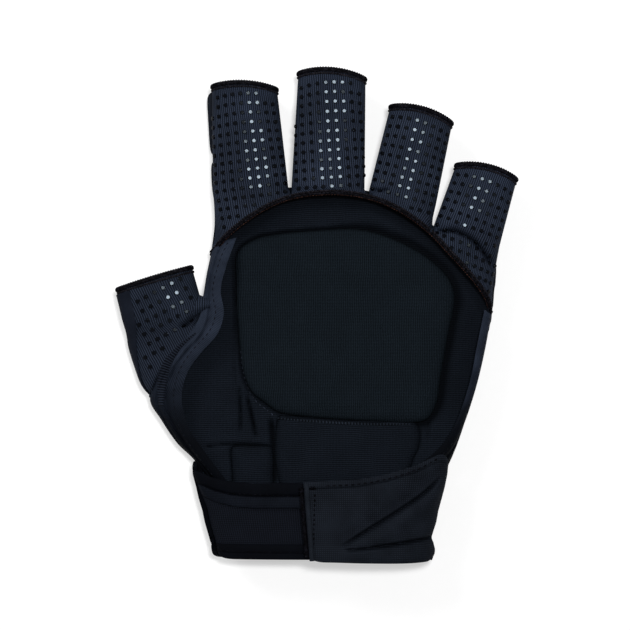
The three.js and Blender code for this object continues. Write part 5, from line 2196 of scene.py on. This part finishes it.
def fit(
    piece: Piece,
    finish: Finish,
    carrier: str | Bend = "hand",
    nodes: Sequence[str] = (),
) -> Piece:
    """Dress a piece, hang it on its body where it has one, and hide the CAD nodes that it replaces.

    Args:
        piece: The piece.
        finish: Its finish, which names a material slot.
        carrier: Its body, or two bodies with two points along a digit, which are not used: such a piece is
            left unhung.
        nodes: The CAD nodes that it replaces.

    Returns:
        The piece.
    """
    piece.data.materials.clear()
    piece.data.materials.append(finish.make())
    if isinstance(carrier, str):
        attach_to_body(piece, carrier)
    else:
        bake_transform(piece)
    if nodes:
        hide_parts(*nodes)
    LOG.info("made %s with %d faces", piece.name, len(piece.data.polygons))
    return piece


def bend(digit: Digit, bodies: tuple[str, str], low: float, high: float) -> Bend:
    """Two bodies and two points along a digit, where cloth passes from one body to the next."""
    return *bodies, digit.point(0, low, LAYERS.top), digit.point(0, high, LAYERS.top)


FINGER_FOLDS = {
    "little": (
        Crease(
            (
                (49, 34.6), (56, 35.9), (59.4, 35.5), (65.7, 32.3), (70.8, 27.3), (72.9, 23.9),
                (76, 18.6),
            ),
            4.4, 1.15, 2.4, 3.0, overhang=1.0,
        ),
    ),
    "ring": (Crease(((22, 53.6), (25, 52.4), (28.2, 52.1), (31.6, 52.6)), 2, 0.75, 0.7, 2.4),),
}
THUMB_FOLDS = (
    Crease(
        ((-57, -5.6), (-54.4, -3.6), (-51.4, -1.2), (-48, 1), (-43, 3)),
        3.4, 1.2, 1.3, 2.6, overhang=0.8,
    ),
)
PAD_SEAM = ((-16.6, -43.6), (0.0, -45.0), (16.0, -45.9), (30.0, -46.2), (40.0, -46.1))
PAD_ROW = ((-31.4, -14.7), (-30.2, -25.0), (-26.4, -34.6), (-17.6, -42.4))
THUMB_SEAM = (
    (-50, -7.6), (-54.6, -11.4), (-58.6, -15.6), (-61.9, -20.4), (-63.6, -25.4), (-64.4, -30.6),
    (-64.7, -38.4),
)
THUMB_SEAM_WIDTHS = (0.8, 1.4, 2.4, 3.8, 4.6, 4.6, 3.8, 2.4)
DOT_STARTS = {"index": 0.4, "middle": 1.6, "ring": 1.2, "little": 0.9}
KNIT_END = 1.5
DOTS_END = 5.2
KNUCKLE_SWAY = 5.0


def dress_fingers(edges: Edges) -> None:
    """Make the cloth, dots and hems of the four fingers, and hang the hems on the fingertips; the cloth and
    dots are left unhung.
    """
    for digit in FINGERS:
        name = digit.name
        sleeve = Sleeve(digit, FINGER_FOLDS.get(name, ()), step=0.5 if name == "little" else 0.75)
        inner, outer = f"{name}_proximal", f"{name}_distal"
        knuckle = bend(digit, ("hand", inner), 0, digit.split)
        low = max(digit.split, digit.proximal - KNUCKLE_SWAY)
        middle = bend(digit, (inner, outer), low, digit.proximal + KNUCKLE_SWAY)
        fit(sleeve.tube(f"{name}_knit_base", None, digit.split), KNIT, knuckle, ("finger_base_panel",))
        tip = sleeve.tube(f"{name}_knit_tip", digit.split, digit.length - KNIT_END)
        fit(tip, KNIT, middle, (f"{name}_sleeve_proximal", f"{name}_sleeve_distal"))
        start = DOT_STARTS[name]
        fit(sleeve.dots(f"{name}_dots_base", None, digit.split, start), SILICONE, knuckle)
        fit(sleeve.dots(f"{name}_dots_tip", digit.split, digit.length - DOTS_END, start), SILICONE, middle)
        fit(edges.make_mouth(digit), HEM_THREAD, outer, (f"{name}_tip_hem",))
        fit(edges.make_mouth_braid(digit), CHAIN, outer)


def dress_thumb(edges: Edges, band: Piece) -> None:
    """Make the cloth, dots, panel and hem of the thumb, and its seam with the side band; hang the hem on the
    thumb and the seam on the hand, and leave the cloth, dots and panel unhung.
    """
    sleeve = ThumbSleeve(THUMB, THUMB_FOLDS)
    joint = bend(THUMB, ("hand", "thumb"), 0, 5.0)
    knit = sleeve.tube("thumb_knit", None, THUMB.length - KNIT_END)
    fit(knit, THUMB_KNIT, joint, ("thumb_sleeve", "thumb_base_shell"))
    fit(sleeve.grip("thumb_dots", knit), SILICONE, joint)
    fit(thumb_panel(sleeve), THUMB_PANEL, joint)
    fit(edges.make_mouth(THUMB), HEM_THREAD, "thumb", ("thumb_tip_hem",))
    fit(edges.make_mouth_braid(THUMB), CHAIN, "thumb")
    fit(crotch_fold(), THUMB_KNIT)
    fit(overlock("thumb_seam_overlock", Surface(knit, band), THUMB_SEAM, THUMB_SEAM_WIDTHS, 1.1), SEAM_RIBS)


def dress_palm(edges: Edges) -> Piece:
    """Make and hang the hem, bands and linings of the open palm, and their stitches.

    Returns:
        The band on the thumb's side.
    """
    made = edges.make_palm()
    fit(made["palm_hem"], HEM_THREAD, "hand", ("palm_hem",))
    fit(made["palm_hem_chain"], CHAIN)
    fit(made["palm_hem_thread"], BROWN)
    bands = (SideBand.thumb_side(), SideBand.outer_side())
    thumb_side, outer_side = (fit(band.make(), BAND, "hand", (band.name,)) for band in bands)
    linings = PalmLining()
    pads = linings.make()
    for name, pad in pads.items():
        fit(pad, PAD_LINING if name == "main_palm_pad" else LINING, "hand", (name,))
    nodes = ("outer_lining", "thumb_lining_pad", "lower_thumb_pad_outer")
    cloth = fit(linings.make_cloth(), LINING, "hand", nodes)
    lining = Surface(*pads.values(), cloth)
    fit(sew("pad_stitches", lining, PAD_ROW, 1.3, 0.9, 0.45), PAD_STITCH)
    fit(overlock("pad_overlock", lining, PAD_SEAM, (0.7, 1.2, 1.3, 1.2, 0.7), 1.35), PAD_RIBS)
    row = bands[0].seam_row(-3.4)[1:-1]
    fit(sew("thumb_band_stitches", Surface(thumb_side), row, 1.5, 1.0, 0.42), BAND_STITCH)
    row = bands[1].seam_row(3.0)[1:30]
    fit(sew("outer_band_stitches", Surface(outer_side), row, 1.5, 1.0, 0.42), BAND_STITCH)
    return thumb_side


def dress_back() -> None:
    """Make and hang the back cloth and its guards, apart from the proximal guards, which are left unhung."""
    fit(BackCloth().make(), LAMINATE, "hand", ("back_shell",))
    for name, guard in Guards().make().items():
        digit = next((d for d in FINGERS if name.startswith(d.name)), None)
        carrier: str | Bend = "hand"
        if name == "thumb_guard_tip":
            carrier = "thumb"
        elif digit and name.endswith("distal"):
            carrier = f"{digit.name}_distal"
        elif digit and name.endswith("proximal"):
            carrier = bend(digit, ("hand", f"{digit.name}_proximal"), -10, 4)
        fit(guard, GUARD, carrier, (name,))


def dress_wrist(edges: Edges) -> None:
    """Make and hang the cuff, the strap, the flap and their stitches."""
    cuff = Cuff()
    fit(cuff.make_back(), BINDING, "hand", ("cuff_back",))
    strap = cuff.make_strap()
    fit(strap.pop("strap_fold"), STRAP_FOLD)
    for name, piece in strap.items():
        fit(piece, ELASTIC if name == "strap_elastic" else BINDING, "hand", (name,))
    flap = fit(cuff.make_flap(), FLAP, "wrist_flap", ("flap_panel", "flap_bottom_hem"))
    edge = fit(edges.make_flap_edge(cuff), SEAM_STITCH, "wrist_flap", ("flap_edge_binding",))
    fit(edges.make_flap_ridge(cuff), ROLL, "wrist_flap")
    fastener = Fastener(cuff)
    fit(fastener.backing_piece("loop_patch_tape", fastener.loop_lift), NYLON_TAPE, "hand", ("loop_patch",))
    fit(fastener.make_loops(), NYLON_LOOPS)
    tape = fastener.backing_piece("hook_patch_tape", fastener.hook_lift)
    fit(tape, NYLON_TAPE, "wrist_flap", ("hook_patch",))
    fit(fastener.make_hooks(), NYLON_TAPE, "wrist_flap")
    face, cover = Surface(*strap.values()), Surface(flap, edge)
    top_row = ((4.0, -71.0), (18.1, -70.2), (29.8, -68.2), (41.4, -64.8), (51.0, -60.2))
    for name, surface, body, row, length, gap, thick in (
        ("strap_top_stitches", face, "hand", ((-44.3, -74.4), (-26.0, -75.0), (-7.5, -75.8)), 1.5, 0.8, 0.6),
        ("strap_hem_stitches", face, "hand", ((-42.0, -98.6), (-26.0, -98.9), (-5.0, -99.2)), 1.5, 0.7, 0.6),
        (
            "flap_inner_stitches", cover, "wrist_flap",
            ((0, -74), (-0.4, -86), (-0.7, -99.5)), 1.2, 0.8, 0.7,
        ),
        ("flap_top_stitches", cover, "wrist_flap", top_row, 1.7, 0.9, 0.6),
    ):
        fit(sew(name, surface, row, length, gap, thick), SEAM_STITCH, body)
    fit(bartack(cover, (-1.0, -72.0)), SEAM_STITCH, "wrist_flap")


def bartack(surface: Surface, place: tuple[float, float]) -> Piece:
    """The crossed stitches that hold the flap's upper corner."""
    ways = np.radians([20, 65, 110, 155])
    found, spots, normals = surface.drop(np.array([[*place, 0.0]] * len(ways)))
    headings = np.stack([np.cos(ways), np.sin(ways), 0 * ways], 1)
    spots = spots + 0.15 * UP
    return stitch().set_at("flap_bartack", spots[found], normals[found], headings[found], (3.4, 0.55, 0.5))


# Studio


@dataclass
class Studio:
    """The floor, the lights and the camera."""

    field: float = 0.2646
    lens: float = 120.0
    sensor: float = 36.0
    focus_height: float = 0.018
    fill_light: float = 0.18

    def place(self, name: str, data: bpy.types.ID, spot: Sequence[float]) -> Piece:
        """Put a camera or a lamp into the scene."""
        item = bpy.data.objects.new(name, data)
        bpy.context.scene.collection.objects.link(item)
        item.location = spot
        return item

    def make_camera(self) -> None:
        """Stand the camera straight over the palm."""
        data = bpy.data.cameras.new("palm_camera")
        data.lens, data.sensor_width = self.lens, self.sensor
        data.clip_start, data.clip_end = 0.01, 10
        height = self.focus_height + self.field * self.lens / self.sensor
        bpy.context.scene.camera = self.place("palm_camera", data, (0, 0, height))

    def make_floor(self) -> None:
        """Lay the white sheet."""
        clear_selection()
        bpy.ops.mesh.primitive_plane_add(size=6)
        floor = bpy.context.active_object
        floor.name = "floor"
        floor.data.materials.append(Paper().make())

    def make_lamp(self, name: str, spot: Sequence[float], size: tuple[float, float], power: float) -> None:
        """Hang one soft lamp that points at the glove."""
        data = bpy.data.lights.new(name, "AREA")
        data.shape = "RECTANGLE"
        data.size, data.size_y = size
        data.energy = power
        lamp = self.place(name, data, spot)
        lamp.rotation_euler = (-Vector(spot)).to_track_quat("-Z", "Y").to_euler()

    def make_world(self) -> None:
        """Fill the room with even light, and show plain white to the camera."""
        world = bpy.data.worlds.new("room")
        bpy.context.scene.world = world
        world.use_nodes = True
        nodes = Nodes(world.node_tree)
        path = nodes.node("LightPath").outputs
        seen = nodes.sum("MAXIMUM", path["Is Camera Ray"], path["Is Transmission Ray"])
        seen = nodes.sum("MAXIMUM", seen, path["Is Glossy Ray"])
        back = world.node_tree.nodes["Background"].inputs
        nodes.put(back["Color"], (1, 1, 1, 1))
        nodes.put(back["Strength"], nodes.span(seen, 0.0, 1.0, self.fill_light))

    def make(self) -> None:
        """Make the whole studio."""
        self.make_camera()
        self.make_floor()
        self.make_world()
        self.make_lamp("key_lamp", (0.09, 0.13, 1.0), (0.135, 0.105), 7.6)
        self.make_lamp("upper_lamp", (-0.6, 0.65, 0.7), (0.4, 0.4), 5.5)
        bpy.context.scene.view_settings.view_transform = "Standard"


def main() -> None:
    """Build the glove in order, in its studio."""
    logging.basicConfig(level=logging.INFO, stream=sys.stdout, format="%(name)s: %(message)s")
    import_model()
    Studio().make()
    edges = Edges()
    dress_back()
    band = dress_palm(edges)
    dress_fingers(edges)
    dress_thumb(edges, band)
    dress_wrist(edges)


if __name__ == "__main__":
    main()
